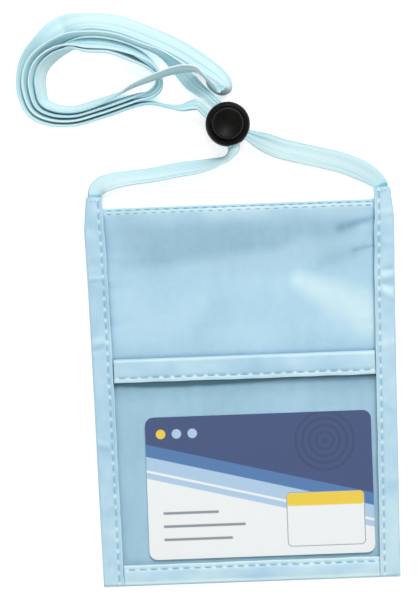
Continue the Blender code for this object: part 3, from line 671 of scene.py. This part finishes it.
def panel_place(level, tone_of, top_y, fold_up):
    """The places of a panel's grid: up the panel, round the fold at its top and down the hem.

    fold_up lifts the panel over its own hem; otherwise the hem comes over the panel.
    """
    bottom_y = FOLD_RADIUS - HALF_HEIGHT
    fold_y = top_y - HEM_RADIUS - CLOTH / 2

    def place(column, row):
        across = column / PANEL_COLUMNS * 2 - 1
        if row <= PANEL_ROWS:
            y = bottom_y + (fold_y - bottom_y) * row / PANEL_ROWS
            angle = 0.0
            along = y
        elif row <= PANEL_ROWS + FOLD_ROWS:
            angle = math.pi * (row - PANEL_ROWS) / FOLD_ROWS
            y = fold_y + HEM_RADIUS * math.sin(angle)
            along = fold_y + HEM_RADIUS * angle
        else:
            angle = math.pi
            turned = HEM_WIDTH * (row - PANEL_ROWS - FOLD_ROWS) / HEM_ROWS
            y = fold_y - turned
            along = fold_y + HEM_RADIUS * math.pi + turned
        x = across * (half_width(y) - FOLD_RADIUS)
        rise = HEM_RADIUS * (1 - math.cos(angle))
        z = level(x, y) + CLOTH / 2
        if fold_up:
            z += (2 * HEM_RADIUS + HEM_LIFT) * smooth(1 - (fold_y - y) / HEM_REACH) - rise
        else:
            z += rise
        return Vector((x, y, z)), (x * 1000, along * 1000), tone_of(x, y)

    return place


def thicken(piece, thickness):
    wall = piece.modifiers.new("thickness", "SOLIDIFY")
    wall.thickness = thickness
    wall.offset = 0
    wall.use_even_offset = True


def nylon(name, shades):
    """Plain-woven nylon with a thin coat: fine threads, faint rubs and a soft shine."""
    made, tree, shader = new_finish(name, shades[2], 0.45, Sheen_Weight=0.1, Coat_Weight=0.1)
    shader.inputs["Coat Roughness"].default_value = 0.35
    width_way, length_way = cloth_axes(tree)
    warp = ripple(tree, width_way, NYLON_PITCH)
    weft = ripple(tree, length_way, NYLON_PITCH, math.pi / 2)
    weave = calc(tree, "MULTIPLY", warp, weft)
    place = put(tree, "TexCoord", {}, "Object")
    rubs = put(tree, "TexNoise", {"Vector": place, "Scale": 70.0, "Detail": 5.0, "Roughness": 0.6})
    flecks = put(tree, "TexNoise", {"Vector": place, "Scale": 420.0, "Detail": 2.0})
    tone = put(tree, "Attribute", {}, output=2, attribute_name="tone")
    tone = calc(tree, "MULTIPLY_ADD", calc(tree, "SUBTRACT", rubs, 0.5), 0.16, tone)
    tone = calc(tree, "MULTIPLY_ADD", calc(tree, "SUBTRACT", flecks, 0.5), 0.1, tone)
    tone = calc(tree, "MULTIPLY_ADD", calc(tree, "SUBTRACT", weave, 0.25), 0.07, tone)
    shade_by(tree, shader, tone, shades)
    height = calc(tree, "MULTIPLY_ADD", rubs, 1.6, weave)
    emboss(tree, shader, height, 0.00008, 0.6)
    return made


panel_nylon = nylon("coated_nylon", PANEL_SHADES)
rows = PANEL_ROWS + FOLD_ROWS + HEM_ROWS
places = panel_place(back_level, back_tone, BACK_TOP_Y, False)
back = lay_grid("back_cloth", PANEL_COLUMNS, rows, places)
places = panel_place(front_level, front_tone, FRONT_TOP_Y, True)
front = lay_grid("front_cloth", PANEL_COLUMNS, rows, places)
for piece, node in ((back, "back_panel"), (front, "front_panel")):
    thicken(piece, CLOTH)
    piece.data.materials.append(panel_nylon)
    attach(piece, "wallet")
    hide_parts(node)

# Seams: blue polyester thread, 0.4 mm, lockstitched. Each stitch is a short float of
# thread between two needle holes, so it dips into the cloth at both ends.
THREAD_BLUE = (0.3, 0.51, 0.66)
THREAD_PALE = (0.4, 0.65, 0.79)
THREAD_WIDTH = 0.0004
STITCH_PITCH = 0.0042
STITCH_SHARE = 0.64
STITCH_WANDER = 0.00012
STITCH_FLATNESS = 0.8
STITCH_DIP = 0.7
STITCH_LIFT = 0.2
SEAM_POINTS = 160
ABOVE_ALL = 0.05
HEM_SEAM_INSET = 0.0009
HEM_SEAM_GAP = 0.0006
HEM_PITCH = 0.0036


def sew(name, path, pitch=STITCH_PITCH, wander=STITCH_WANDER):
    """A row of stitches along a path of points that lie on the cloth."""
    seam = bmesh.new()
    lengths = [0.0]
    for near, far in zip(path, path[1:]):
        lengths.append(lengths[-1] + (far - near).length)
    count = max(1, round(lengths[-1] / pitch))

    def at(length):
        return Vector([float(np.interp(length, lengths, [p[k] for p in path])) for k in range(3)])

    for index in range(count):
        start = lengths[-1] * (index + (1 - STITCH_SHARE) / 2) / count
        end = lengths[-1] * (index + (1 + STITCH_SHARE) / 2) / count
        near, far = at(start), at(end)
        ahead = (far - near).normalized()
        side = Vector((0, 0, 1)).cross(ahead).normalized()
        up = ahead.cross(side)
        middle = (near + far) / 2 + side * noise.noise((index * 0.7, len(name), 0.0)) * wander
        turn = Matrix((ahead, side, up)).transposed().to_4x4()
        height = THREAD_WIDTH * STITCH_FLATNESS
        size = Matrix.Diagonal(((far - near).length, THREAD_WIDTH, height, 1))
        grown = bmesh.ops.create_uvsphere(
            seam,
            u_segments=8,
            v_segments=7,
            radius=0.5,
            matrix=Matrix.Translation(middle) @ turn @ size @ Matrix.Rotation(math.pi / 2, 4, "Y"),
        )
        for vert in grown["verts"]:
            along = (vert.co - middle).dot(ahead) / (far - near).length
            vert.co -= up * (2 * along) ** 4 * THREAD_WIDTH * STITCH_DIP
    piece = add_shape(name, seam)
    piece.data.materials.append(thread_finish)
    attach(piece, "wallet")
    return piece


def seam_on(surface, points):
    """Points of a seam, dropped from above onto a piece's upper surface."""
    surface.update_tag()
    bpy.context.view_layer.update()
    shown = surface.evaluated_get(bpy.context.evaluated_depsgraph_get())
    path = []
    for x, y in points:
        hit, spot, _, _ = shown.ray_cast(Vector((x, y, ABOVE_ALL)), Vector((0, 0, -1)))
        if hit:
            path.append(spot + Vector((0, 0, THREAD_WIDTH * STITCH_LIFT)))
    return path


def straight(start, end, count=60):
    shares = np.linspace(0, 1, count + 1)
    return [tuple(Vector(start).lerp(Vector(end), share)) for share in shares]


thread_finish, tree, shader = new_finish("sewing_thread", THREAD_BLUE, 0.6, Sheen_Weight=0.2)
place = put(tree, "TexCoord", {}, "Object")
waves = {"Vector": place, "Scale": 900.0, "Distortion": 1.5}
twist = put(tree, "TexWave", waves, output=1, bands_direction="DIAGONAL")
shade_by(tree, shader, twist, (THREAD_BLUE, THREAD_PALE))
emboss(tree, shader, twist, 0.00005, 0.6)

end_x = clear_half_width(FRONT_TOP_Y) - HEM_SEAM_GAP
for name, cloth, top_y in (
    ("front_hem_seam", front, FRONT_TOP_Y),
    ("back_hem_seam", back, BACK_TOP_Y),
):
    y = top_y - HEM_SEAM_INSET
    sew(name, seam_on(cloth, straight((-end_x, y), (end_x, y))), HEM_PITCH)

# Bindings: strips of the same nylon, folded over the edges of all the sheets and sewn
# through. The one at the bottom and the one on the window's upper edge run between the
# two side bindings, which run the full height and hold the ends of the strap under a
# bar tack each. They are lightly puckered by the seams and creased across at places,
# with painted light and shade on their creases, lips, folds and seam grooves.
# The shades run from a painted deep shade, through the cloth's own blue, to a painted highlight.
BINDING_SHADES = ((0.12, 0.24, 0.35), (0.31, 0.545, 0.69), (0.47, 0.725, 0.89), (0.7, 0.93, 0.98))
SEAM_TOP_Z = 0.00431
WINDOW_FLAP_Z = 0.00281
CLOSED_END = 0.14
FOLD_SHARE = 0.45
TACK_BELOW_TOP = 0.0016
TACK_FROM_LIP = 0.0008
TACK_FROM_FOLD = 0.0014
TACK_PITCH = 0.0014
TACK_WANDER = 0.0003
STRIP_END_GAP = 0.00025
TOP_POINTS = 30
ARC_POINTS = 5
UNDER_POINTS = 8
BINDING_STEP = 0.0006

# Across a strip, from its lip to its fold: the curled lip with a painted highlight line and
# a painted shade, the seam in its groove, which is painted darker and rises between two
# stitches, where it has painted highlights, and the crown past it.
LIP_WAVE = 0.00018
LIP_CURL = 0.0002
LIP_CURL_LENGTH = 0.0005
LIP_HIGHLIGHT_WIDTH = 0.0003
LIP_SHADE = (0.0007, 0.00025)
SEAM_INSET = 0.0017
SEAM_END = 0.001
GROOVE_WIDTH = 0.0006
GROOVE_DEPTH = 0.00034
GROOVE_RISE = 0.0002
GROOVE_SHADE = 0.0004
CROWN = 0.0001
CROWN_WAVES = (0.00026, 0.00016)
FOLD_HIGHLIGHT_WIDTH = 0.0006
SHADE_STEP = 0.0004

# Creases across the strips: where along the strip each lies, its slant, its length along
# the strip and its height. All are in mm.
NO_CREASES = ()
LEFT_CREASES = (
    (61.8, 0.2, 2.4, -0.2),
    (51.0, -0.3, 2.0, 0.2),
    (42.9, 0.05, 0.8, 0.24),
    (18.7, -0.25, 1.5, 0.3),
    (16.2, -0.2, 1.2, -0.22),
    (-20.5, 0.3, 1.4, 0.28),
    (-44.0, -0.2, 2.2, 0.18),
)
RIGHT_CREASES = (
    (63.9, 0.2, 1.6, 0.25),
    (53.0, -0.1, 1.6, 0.2),
    (42.4, 0.1, 1.2, -0.28),
    (39.6, 0.1, 1.6, 0.38),
    (36.8, -0.2, 1.3, -0.22),
    (33.6, -0.45, 1.7, 0.4),
    (13.9, 0.2, 1.6, 0.24),
    (-9.0, -0.3, 2.0, 0.18),
    (-38.0, 0.25, 2.2, 0.2),
)


def crease_rise(along, inset, strip_creases):
    """How far the creases lift the strip at a place, between its seam and its fold."""
    rise = 0.0
    for at, slant, length, height in strip_creases:
        away = (along * 1000 - at - slant * (inset * 1000 - 4)) / length
        if abs(away) < 3:
            rise += height / 1000 * math.exp(-away * away)
    return rise


def tape_tone(inset, width, along, stitch_at, pale_lip_and_fold_highlight, seed):
    """How light a strip is: mottled, with painted light and shade at its lip, its seam's groove,
    between stitches and on its fold.
    """
    tone = PLAIN_TONE + 0.13 * noise.noise((along * 130, inset * 170, seed))
    tone += 0.1 * noise.noise((along * 40, inset * 60, seed + 2))
    # A painted highlight along the lip; on the strips that run across, paler from the lip to the
    # seam.
    tone += 0.2 * bell(inset, LIP_HIGHLIGHT_WIDTH)
    tone += 0.6 * pale_lip_and_fold_highlight * smooth(1.3 - inset / SEAM_INSET)
    # A painted shade beside the curled lip.
    tone -= 0.1 * bell(inset - LIP_SHADE[0], LIP_SHADE[1])
    # Painted shade in the seam's groove, with painted highlights where the cloth rises between two
    # stitches.
    gap = round(stitch_at)
    hole_highlight_strength = 0.85 + 0.7 * noise.noise((gap * 0.71, seed, 4.0))
    groove = bell(inset - SEAM_INSET, GROOVE_SHADE)
    tone += groove * (hole_highlight_strength * bell(stitch_at - gap, 0.13) - 0.25)
    # A painted highlight on the fold of the strips that run across.
    tone += pale_lip_and_fold_highlight * bell(width - inset, FOLD_HIGHLIGHT_WIDTH)
    return tone


def tape_profile(fold, lip, low, along, stitch_at, strip_creases, pale_lip_and_fold_highlight, seed):
    """Points (across, height, unfolded length, tone) of a folded strip, from lip to lip."""
    inward = math.copysign(1, lip - fold)
    radius = min(FOLD_RADIUS, FOLD_SHARE * (SEAM_TOP_Z - low)) - CLOTH / 2
    high = SEAM_TOP_Z - CLOTH / 2
    low += CLOTH / 2
    fold += inward * CLOTH / 2
    lip_top = lip + inward * LIP_WAVE * noise.noise((along * 110, seed, 0.0))
    width = abs(lip_top - fold) - radius
    rise = GROOVE_RISE * bell(stitch_at - round(stitch_at), 0.2)
    points = []
    for index in range(TOP_POINTS + 1):
        inset = width * index / TOP_POINTS
        groove = bell(inset - SEAM_INSET, GROOVE_WIDTH)
        curl = math.exp(-inset / LIP_CURL_LENGTH)
        free = min(max((inset - SEAM_INSET) / (width - SEAM_INSET), 0), 1)
        crown = math.sin(math.pi * free)
        fold_over = noise.noise((along * 85, inset * 150, seed + 3))
        deep = noise.noise((along * 260, inset * 90, seed + 8))
        height = high - groove * (GROOVE_DEPTH - rise) - curl * LIP_CURL
        height += crown * (CROWN + CROWN_WAVES[0] * fold_over + CROWN_WAVES[1] * deep)
        crease = crease_rise(along, inset, strip_creases)
        loose = smooth(free * 3)
        height += loose * crease
        tone = tape_tone(inset, width, along, stitch_at, pale_lip_and_fold_highlight, seed)
        # Painted light and shade on the creases: each side is paler or darker by its slope along
        # the strip.
        tone += loose * 900 * (crease - crease_rise(along + SHADE_STEP, inset, strip_creases))
        points.append((lip_top - inward * inset, height, inset, tone))
    unfolded = width
    centre = fold + inward * radius
    for corner, start in ((high - radius, 0.0), (low + radius, math.pi / 2)):
        for index in range(1 if start == 0 else 0, ARC_POINTS + 1):
            angle = start + math.pi / 2 * index / ARC_POINTS
            lifted = crease * (1 - angle / math.pi)
            across = centre - inward * radius * math.sin(angle)
            spot = (across, corner + radius * math.cos(angle) + lifted)
            unfolded += math.dist(points[-1][:2], spot)
            points.append((*spot, unfolded, PLAIN_TONE))
    under = abs(lip - centre)
    for index in range(1, UNDER_POINTS + 1):
        inset = under * index / UNDER_POINTS
        points.append((centre + inward * inset, low, unfolded + inset, PLAIN_TONE))
    return points


def folded_strip(name, span, edges, low, strip_creases, seed, upright):
    """A binding along a span of the wallet. edges gives its fold and lip at a place.

    The lower end of an upright one is turned down onto its under side, so it is closed.
    """
    start, end = span
    count = round((end - start) / BINDING_STEP)
    stitches = round((end - start - 2 * SEAM_END) / STITCH_PITCH)
    profiles = []
    for index in range(count + 1):
        along = start + (end - start) * index / count
        stitch_at = (along - start - SEAM_END) / (end - start - 2 * SEAM_END) * stitches
        fold, lip = edges(along)
        pale_lip_and_fold_highlight = 0.0 if upright else 0.4
        points = tape_profile(fold, lip, low, along, stitch_at, strip_creases, pale_lip_and_fold_highlight, seed)
        profiles.append((along, points))

    def place(column, row):
        along, points = profiles[row]
        across, height, unfolded, tone = points[column]
        if upright and row == 0:
            under = low + CLOTH / 2
            height = under + (height - under) * CLOSED_END
        point = (across, along, height) if upright else (along, across, height)
        tone += 0.1 * smooth((-0.03 - point[1]) / 0.03) + 0.06 * smooth(point[0] / 0.04)
        return Vector(point), (unfolded * 1000, along * 1000), tone

    strip = lay_grid(name, len(profiles[0][1]) - 1, count, place)
    faces_up = sum(face.normal.z for face in strip.data.polygons[: TOP_POINTS - 4])
    if faces_up < 0:
        strip.data.flip_normals()
    thicken(strip, CLOTH)
    strip.data.materials.append(binding_nylon)
    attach(strip, "wallet")
    return strip


binding_nylon = nylon("binding_nylon", BINDING_SHADES)
for side, name, strip_creases in ((-1, "left", LEFT_CREASES), (1, "right", RIGHT_CREASES)):
    strip = folded_strip(
        name + "_edge_strip",
        (-HALF_HEIGHT, HALF_HEIGHT),
        lambda y: (side * half_width(y), side * clear_half_width(y)),
        0,
        strip_creases,
        side * 2.3,
        True,
    )
    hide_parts(name + "_binding")
    points = []
    for y in np.linspace(-HALF_HEIGHT + SEAM_END, HALF_HEIGHT - SEAM_END, SEAM_POINTS):
        points.append((side * (clear_half_width(y) + SEAM_INSET), float(y)))
    seam = sew(name + "_edge_seam", seam_on(strip, points))
    tack_y = HALF_HEIGHT - TACK_BELOW_TOP
    tack_start = side * (clear_half_width(tack_y) + TACK_FROM_LIP)
    tack_end = side * (half_width(tack_y) - TACK_FROM_FOLD)
    tack = straight((tack_start, tack_y), (tack_end, tack_y))
    bar = sew(name + "_bar_tack", seam_on(strip, tack), TACK_PITCH, TACK_WANDER)
for name, fold_y, lip_y, low in (
    ("bottom_edge", -HALF_HEIGHT, BOTTOM_BINDING_Y, 0),
    ("window_edge", WINDOW_TOP_Y, WINDOW_LIP_Y, WINDOW_FLAP_Z),
):
    end = clear_half_width(lip_y) - STRIP_END_GAP
    strip = folded_strip(
        name + "_strip",
        (-end, end),
        lambda x: (fold_y, lip_y),
        low,
        NO_CREASES,
        7.7 + low,
        False,
    )
    y = lip_y + math.copysign(SEAM_INSET, fold_y - lip_y)
    path = straight((-end + SEAM_END, y), (end - SEAM_END, y), SEAM_POINTS)
    seam = sew(name + "_seam", seam_on(strip, path))
    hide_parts(name.replace("edge", "binding"))

# Window sheet: clear soft vinyl, 0.3 mm, sewn in at both sides and the bottom, so that
# the card slides in from above. It is a little wavy and lies on the card.
VINYL_TINT = (0.55, 0.8, 0.9)
VINYL = 0.0003
VINYL_Z = 0.00341
VINYL_SAG = 0.00045
VINYL_WAVES = (0.00022, 0.0001)
VINYL_EASE = 0.012
VINYL_COLUMNS = 110
VINYL_ROWS = 84


def vinyl_place(column, row):
    bottom_y = FOLD_RADIUS - HALF_HEIGHT
    y = bottom_y + (WINDOW_TOP_Y - FOLD_RADIUS - bottom_y) * row / VINYL_ROWS
    x = (column / VINYL_COLUMNS * 2 - 1) * (half_width(y) - FOLD_RADIUS)
    free = smooth((clear_half_width(y) - abs(x)) / VINYL_EASE)
    free *= smooth((y - BOTTOM_BINDING_Y) / VINYL_EASE) * smooth((WINDOW_LIP_Y - y) / VINYL_EASE)
    wave = noise.noise((x * 42, y * 60, 4.0)) * VINYL_WAVES[0]
    wave += noise.noise((x * 20, y * 150, 8.0)) * VINYL_WAVES[1]
    z = VINYL_Z + VINYL / 2 - (VINYL_SAG + wave) * free
    return Vector((x, y, z)), (x * 1000, y * 1000), 0.5


window = lay_grid("window_vinyl", VINYL_COLUMNS, VINYL_ROWS, vinyl_place)
thicken(window, VINYL)
finish, tree, shader = new_finish("clear_vinyl", VINYL_TINT, 0.12, Alpha=0.04)
shader.inputs["IOR"].default_value = 1.5
shader.inputs["Specular IOR Level"].default_value = 0.3
place = put(tree, "TexCoord", {}, "Object")
haze = put(tree, "TexNoise", {"Vector": place, "Scale": 45.0, "Detail": 6.0, "Roughness": 0.65})
scratches = put(tree, "TexNoise", {"Vector": place, "Scale": 260.0, "Detail": 3.0})
rough = put(tree, "MapRange", {0: haze, 1: 0.3, 2: 0.7, 3: 0.07, 4: 0.2})
tree.links.new(rough, shader.inputs["Roughness"])
emboss(tree, shader, calc(tree, "MULTIPLY_ADD", scratches, 0.15, haze), 0.0002, 0.2)
window.data.materials.append(finish)
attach(window, "wallet")
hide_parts("window_sheet")

# Card: a printed plastic card of the usual size, with a satin face. The print is plain:
# slanting bands of blue with rings in them, a blank panel with a yellow head, three bars
# and three dots. All of it is laid out in mm from the card's middle.
CARD_MIDDLE = (4.3, -37.31)
CARD_NAVY = (0.045, 0.06, 0.2)
CARD_DEEP = (0.03, 0.04, 0.14)
CARD_BLUE = (0.08, 0.2, 0.46)
CARD_PALE = (0.5, 0.68, 0.88)
CARD_WHITE = (1.0, 1.0, 0.99)
CARD_YELLOW = (1.0, 0.7, 0.02)
CARD_GREY = (0.3, 0.33, 0.36)
EDGE_SOFTNESS = 0.12

# Each band runs from its limit down, across the slope. A box has its middle, its half
# sizes and the radius of its corners. A bar has its height and its half length.
SLOPE = math.radians(76)
BANDS = (
    (6.5, CARD_PALE),
    (4.3, CARD_WHITE),
    (3.4, CARD_PALE),
    (-1.5, CARD_BLUE),
    (-6.0, CARD_NAVY),
)
RINGS_AT = (25.0, 16.0)
RINGS_REACH = 13.0
RINGS_BELOW = -6.5
RING_PITCH = 2.6
BLANK_PANEL = (24.5, -13.5, 14.5, 10.0, 1.5)
PANEL_EDGE = 0.3
PANEL_HEAD = (24.5, -6.0, 14.5, 2.4, 1.0)
BARS = ((-9.5, 10.5), (-14.5, 15.5), (-19.5, 13.0))
BARS_START = 37.0
BAR_HALF_WIDTH = 0.5
BAR_CORNER = 0.3
DOTS = ((-37.0, CARD_YELLOW), (-31.0, CARD_PALE), (-25.0, CARD_PALE))
DOTS_HEIGHT = 20.5
DOT_RADIUS = 1.8

finish, tree, shader = new_finish("printed_card", CARD_WHITE, 0.35)
shader.inputs["Specular IOR Level"].default_value = 0.25
place = put(
    tree,
    "Mapping",
    {
        "Vector": put(tree, "TexCoord", {}, "Object"),
        "Location": (-CARD_MIDDLE[0], -CARD_MIDDLE[1], 0),
        "Scale": (1000, 1000, 1000),
    },
)
card_x, card_y = split(tree, place)[:2]


def inside(distance, limit):
    """1 where the distance is under the limit and 0 where it is over, with a soft edge."""
    low, high = limit - EDGE_SOFTNESS, limit + EDGE_SOFTNESS
    return put(tree, "MapRange", {0: distance, 1: low, 2: high, 3: 1.0, 4: 0.0})


def past_half(value, middle, half):
    away = calc(tree, "ABSOLUTE", calc(tree, "SUBTRACT", value, middle))
    return calc(tree, "SUBTRACT", away, half)


def sum_of_squares(first, second):
    return calc(tree, "MULTIPLY_ADD", first, first, calc(tree, "MULTIPLY", second, second))


def rounded_box(middle_x, middle_y, half_x, half_y, corner):
    """The distance from the edge of a box with round corners, below 0 inside it."""
    past_x = past_half(card_x, middle_x, half_x - corner)
    past_y = past_half(card_y, middle_y, half_y - corner)
    over_x = calc(tree, "MAXIMUM", past_x, 0.0)
    over_y = calc(tree, "MAXIMUM", past_y, 0.0)
    inner = calc(tree, "MINIMUM", calc(tree, "MAXIMUM", past_x, past_y), 0.0)
    outer = calc(tree, "ADD", calc(tree, "SQRT", sum_of_squares(over_x, over_y)), inner)
    return calc(tree, "SUBTRACT", outer, corner)


def print_over(below, share, color):
    return put(tree, "Mix", {0: share, 6: below, 7: (*color, 1)}, output=2, data_type="RGBA")


slant = calc(tree, "MULTIPLY", card_x, -math.cos(SLOPE))
slant = calc(tree, "MULTIPLY_ADD", card_y, -math.sin(SLOPE), slant)
ink = (*CARD_WHITE, 1)
for limit, color in BANDS:
    ink = print_over(ink, inside(slant, limit), color)
centre_x = calc(tree, "SUBTRACT", card_x, RINGS_AT[0])
centre_y = calc(tree, "SUBTRACT", card_y, RINGS_AT[1])
away = calc(tree, "SQRT", sum_of_squares(centre_x, centre_y))
rings = calc(tree, "MULTIPLY", calc(tree, "GREATER_THAN", ripple(tree, away, RING_PITCH), 0.6), 0.7)
shown = calc(tree, "MULTIPLY", inside(away, RINGS_REACH), inside(slant, RINGS_BELOW))
ink = print_over(ink, calc(tree, "MULTIPLY", rings, shown), CARD_DEEP)
panel_edge = rounded_box(*BLANK_PANEL)
ink = print_over(ink, inside(panel_edge, PANEL_EDGE), CARD_GREY)
ink = print_over(ink, inside(panel_edge, 0.0), CARD_WHITE)
ink = print_over(ink, inside(rounded_box(*PANEL_HEAD), 0.0), CARD_YELLOW)
for line_y, half_length in BARS:
    bar = rounded_box(half_length - BARS_START, line_y, half_length, BAR_HALF_WIDTH, BAR_CORNER)
    ink = print_over(ink, inside(bar, 0.0), CARD_GREY)
for dot_x, dot_color in DOTS:
    dot = rounded_box(dot_x, DOTS_HEIGHT, DOT_RADIUS, DOT_RADIUS, DOT_RADIUS)
    ink = print_over(ink, inside(dot, 0.0), dot_color)
up = split(tree, put(tree, "NewGeometry", {}, "Normal"))[2]
face = put(tree, "MapRange", {0: up, 1: 0.4, 2: 0.6})
mixed = put(tree, "Mix", {0: face, 6: (*CARD_WHITE, 1), 7: ink}, output=2, data_type="RGBA")
tree.links.new(mixed, shader.inputs["Base Color"])
grain = put(tree, "TexNoise", {"Vector": place, "Scale": 3.0, "Detail": 4.0})
emboss(tree, shader, grain, 0.00002, 0.2)
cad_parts["id_card"].material_slots[0].material = finish

# Cord lock: a round housing, 16.9 mm across, and a sprung button, moulded in black acetal
# with a fine satin grain and paler scuffs, and a painted highlight round the button's rim.
# The slot through both holds the two strands. The button fits its bore with hardly a gap,
# so it is grown a little sideways, and under it is a spring of steel wire.
LOCK_BLACK = (0.004, 0.004, 0.0035)
LOCK_WEAR_AND_HIGHLIGHT = (0.05, 0.05, 0.044)
SPRING_STEEL = (0.6, 0.6, 0.6)
BUTTON_GROWTH = 1.045
RIM_HIGHLIGHT_RADIUS = 0.0057
RIM_HIGHLIGHT_WIDTH = 0.00022


def part_shape(node, name, body, growth=1.0):
    """A piece with the shape of a part of the frame, smoothed and grown sideways."""
    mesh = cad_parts[node].data.copy()
    shape = bmesh.new()
    shape.from_mesh(mesh)
    bmesh.ops.remove_doubles(shape, verts=shape.verts, dist=1e-6)
    centre = Matrix.Translation((-LOCK_CENTRE[0], -LOCK_CENTRE[1], 0))
    bmesh.ops.scale(shape, vec=(growth, growth, 1), space=centre, verts=shape.verts)
    shape.to_mesh(mesh)
    shape.free()
    mesh.shade_smooth()
    mesh.set_sharp_from_angle(angle=math.radians(35))
    mesh.materials.clear()
    mesh.materials.append(finish)
    piece = add_object(name, mesh)
    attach(piece, body)
    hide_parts(node)
    return piece


finish, tree, shader = new_finish("black_acetal", LOCK_BLACK, 0.45)
shader.inputs["Specular IOR Level"].default_value = 0.12
place = put(tree, "TexCoord", {}, "Object")
grain = put(tree, "TexNoise", {"Vector": place, "Scale": 2600.0, "Detail": 3.0})
scuffs = put(tree, "TexNoise", {"Vector": place, "Scale": 320.0, "Detail": 6.0, "Roughness": 0.7})
rough = put(tree, "MapRange", {0: scuffs, 1: 0.35, 2: 0.7, 3: 0.4, 4: 0.55})
tree.links.new(rough, shader.inputs["Roughness"])
centre = put(tree, "VectorMath", {0: place, 1: (*LOCK_CENTRE, 0)}, operation="SUBTRACT")
flat = put(tree, "VectorMath", {0: centre, 1: (1, 1, 0)}, operation="MULTIPLY")
radius = put(tree, "VectorMath", {0: flat}, output=1, operation="LENGTH")
# A painted highlight in a thin ring round the button's rim, added to the paler scuffs.
off_ring = calc(tree, "ABSOLUTE", calc(tree, "SUBTRACT", radius, RIM_HIGHLIGHT_RADIUS))
ring = put(tree, "MapRange", {0: off_ring, 1: 0.0, 2: RIM_HIGHLIGHT_WIDTH, 3: 0.7, 4: 0.0})
wear_and_rim_highlight = calc(tree, "ADD", put(tree, "MapRange", {0: scuffs, 1: 0.55, 2: 0.75, 4: 0.12}), ring)
shade_by(tree, shader, wear_and_rim_highlight, (LOCK_BLACK, LOCK_WEAR_AND_HIGHLIGHT))
emboss(tree, shader, grain, 0.00003, 0.35)
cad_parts["lock_housing"].material_slots[0].material = finish
part_shape("lock_button", "push_button", "button", BUTTON_GROWTH)

finish, tree, shader = new_finish("spring_steel", SPRING_STEEL, 0.3, Metallic=1.0)
place = put(tree, "TexCoord", {}, "Object")
drawn = put(tree, "TexNoise", {"Vector": place, "Scale": 1500.0, "Detail": 2.0})
emboss(tree, shader, drawn, 0.00002, 0.3)
spring = part_shape("lock_spring", "button_spring", "lock")
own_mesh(spring)
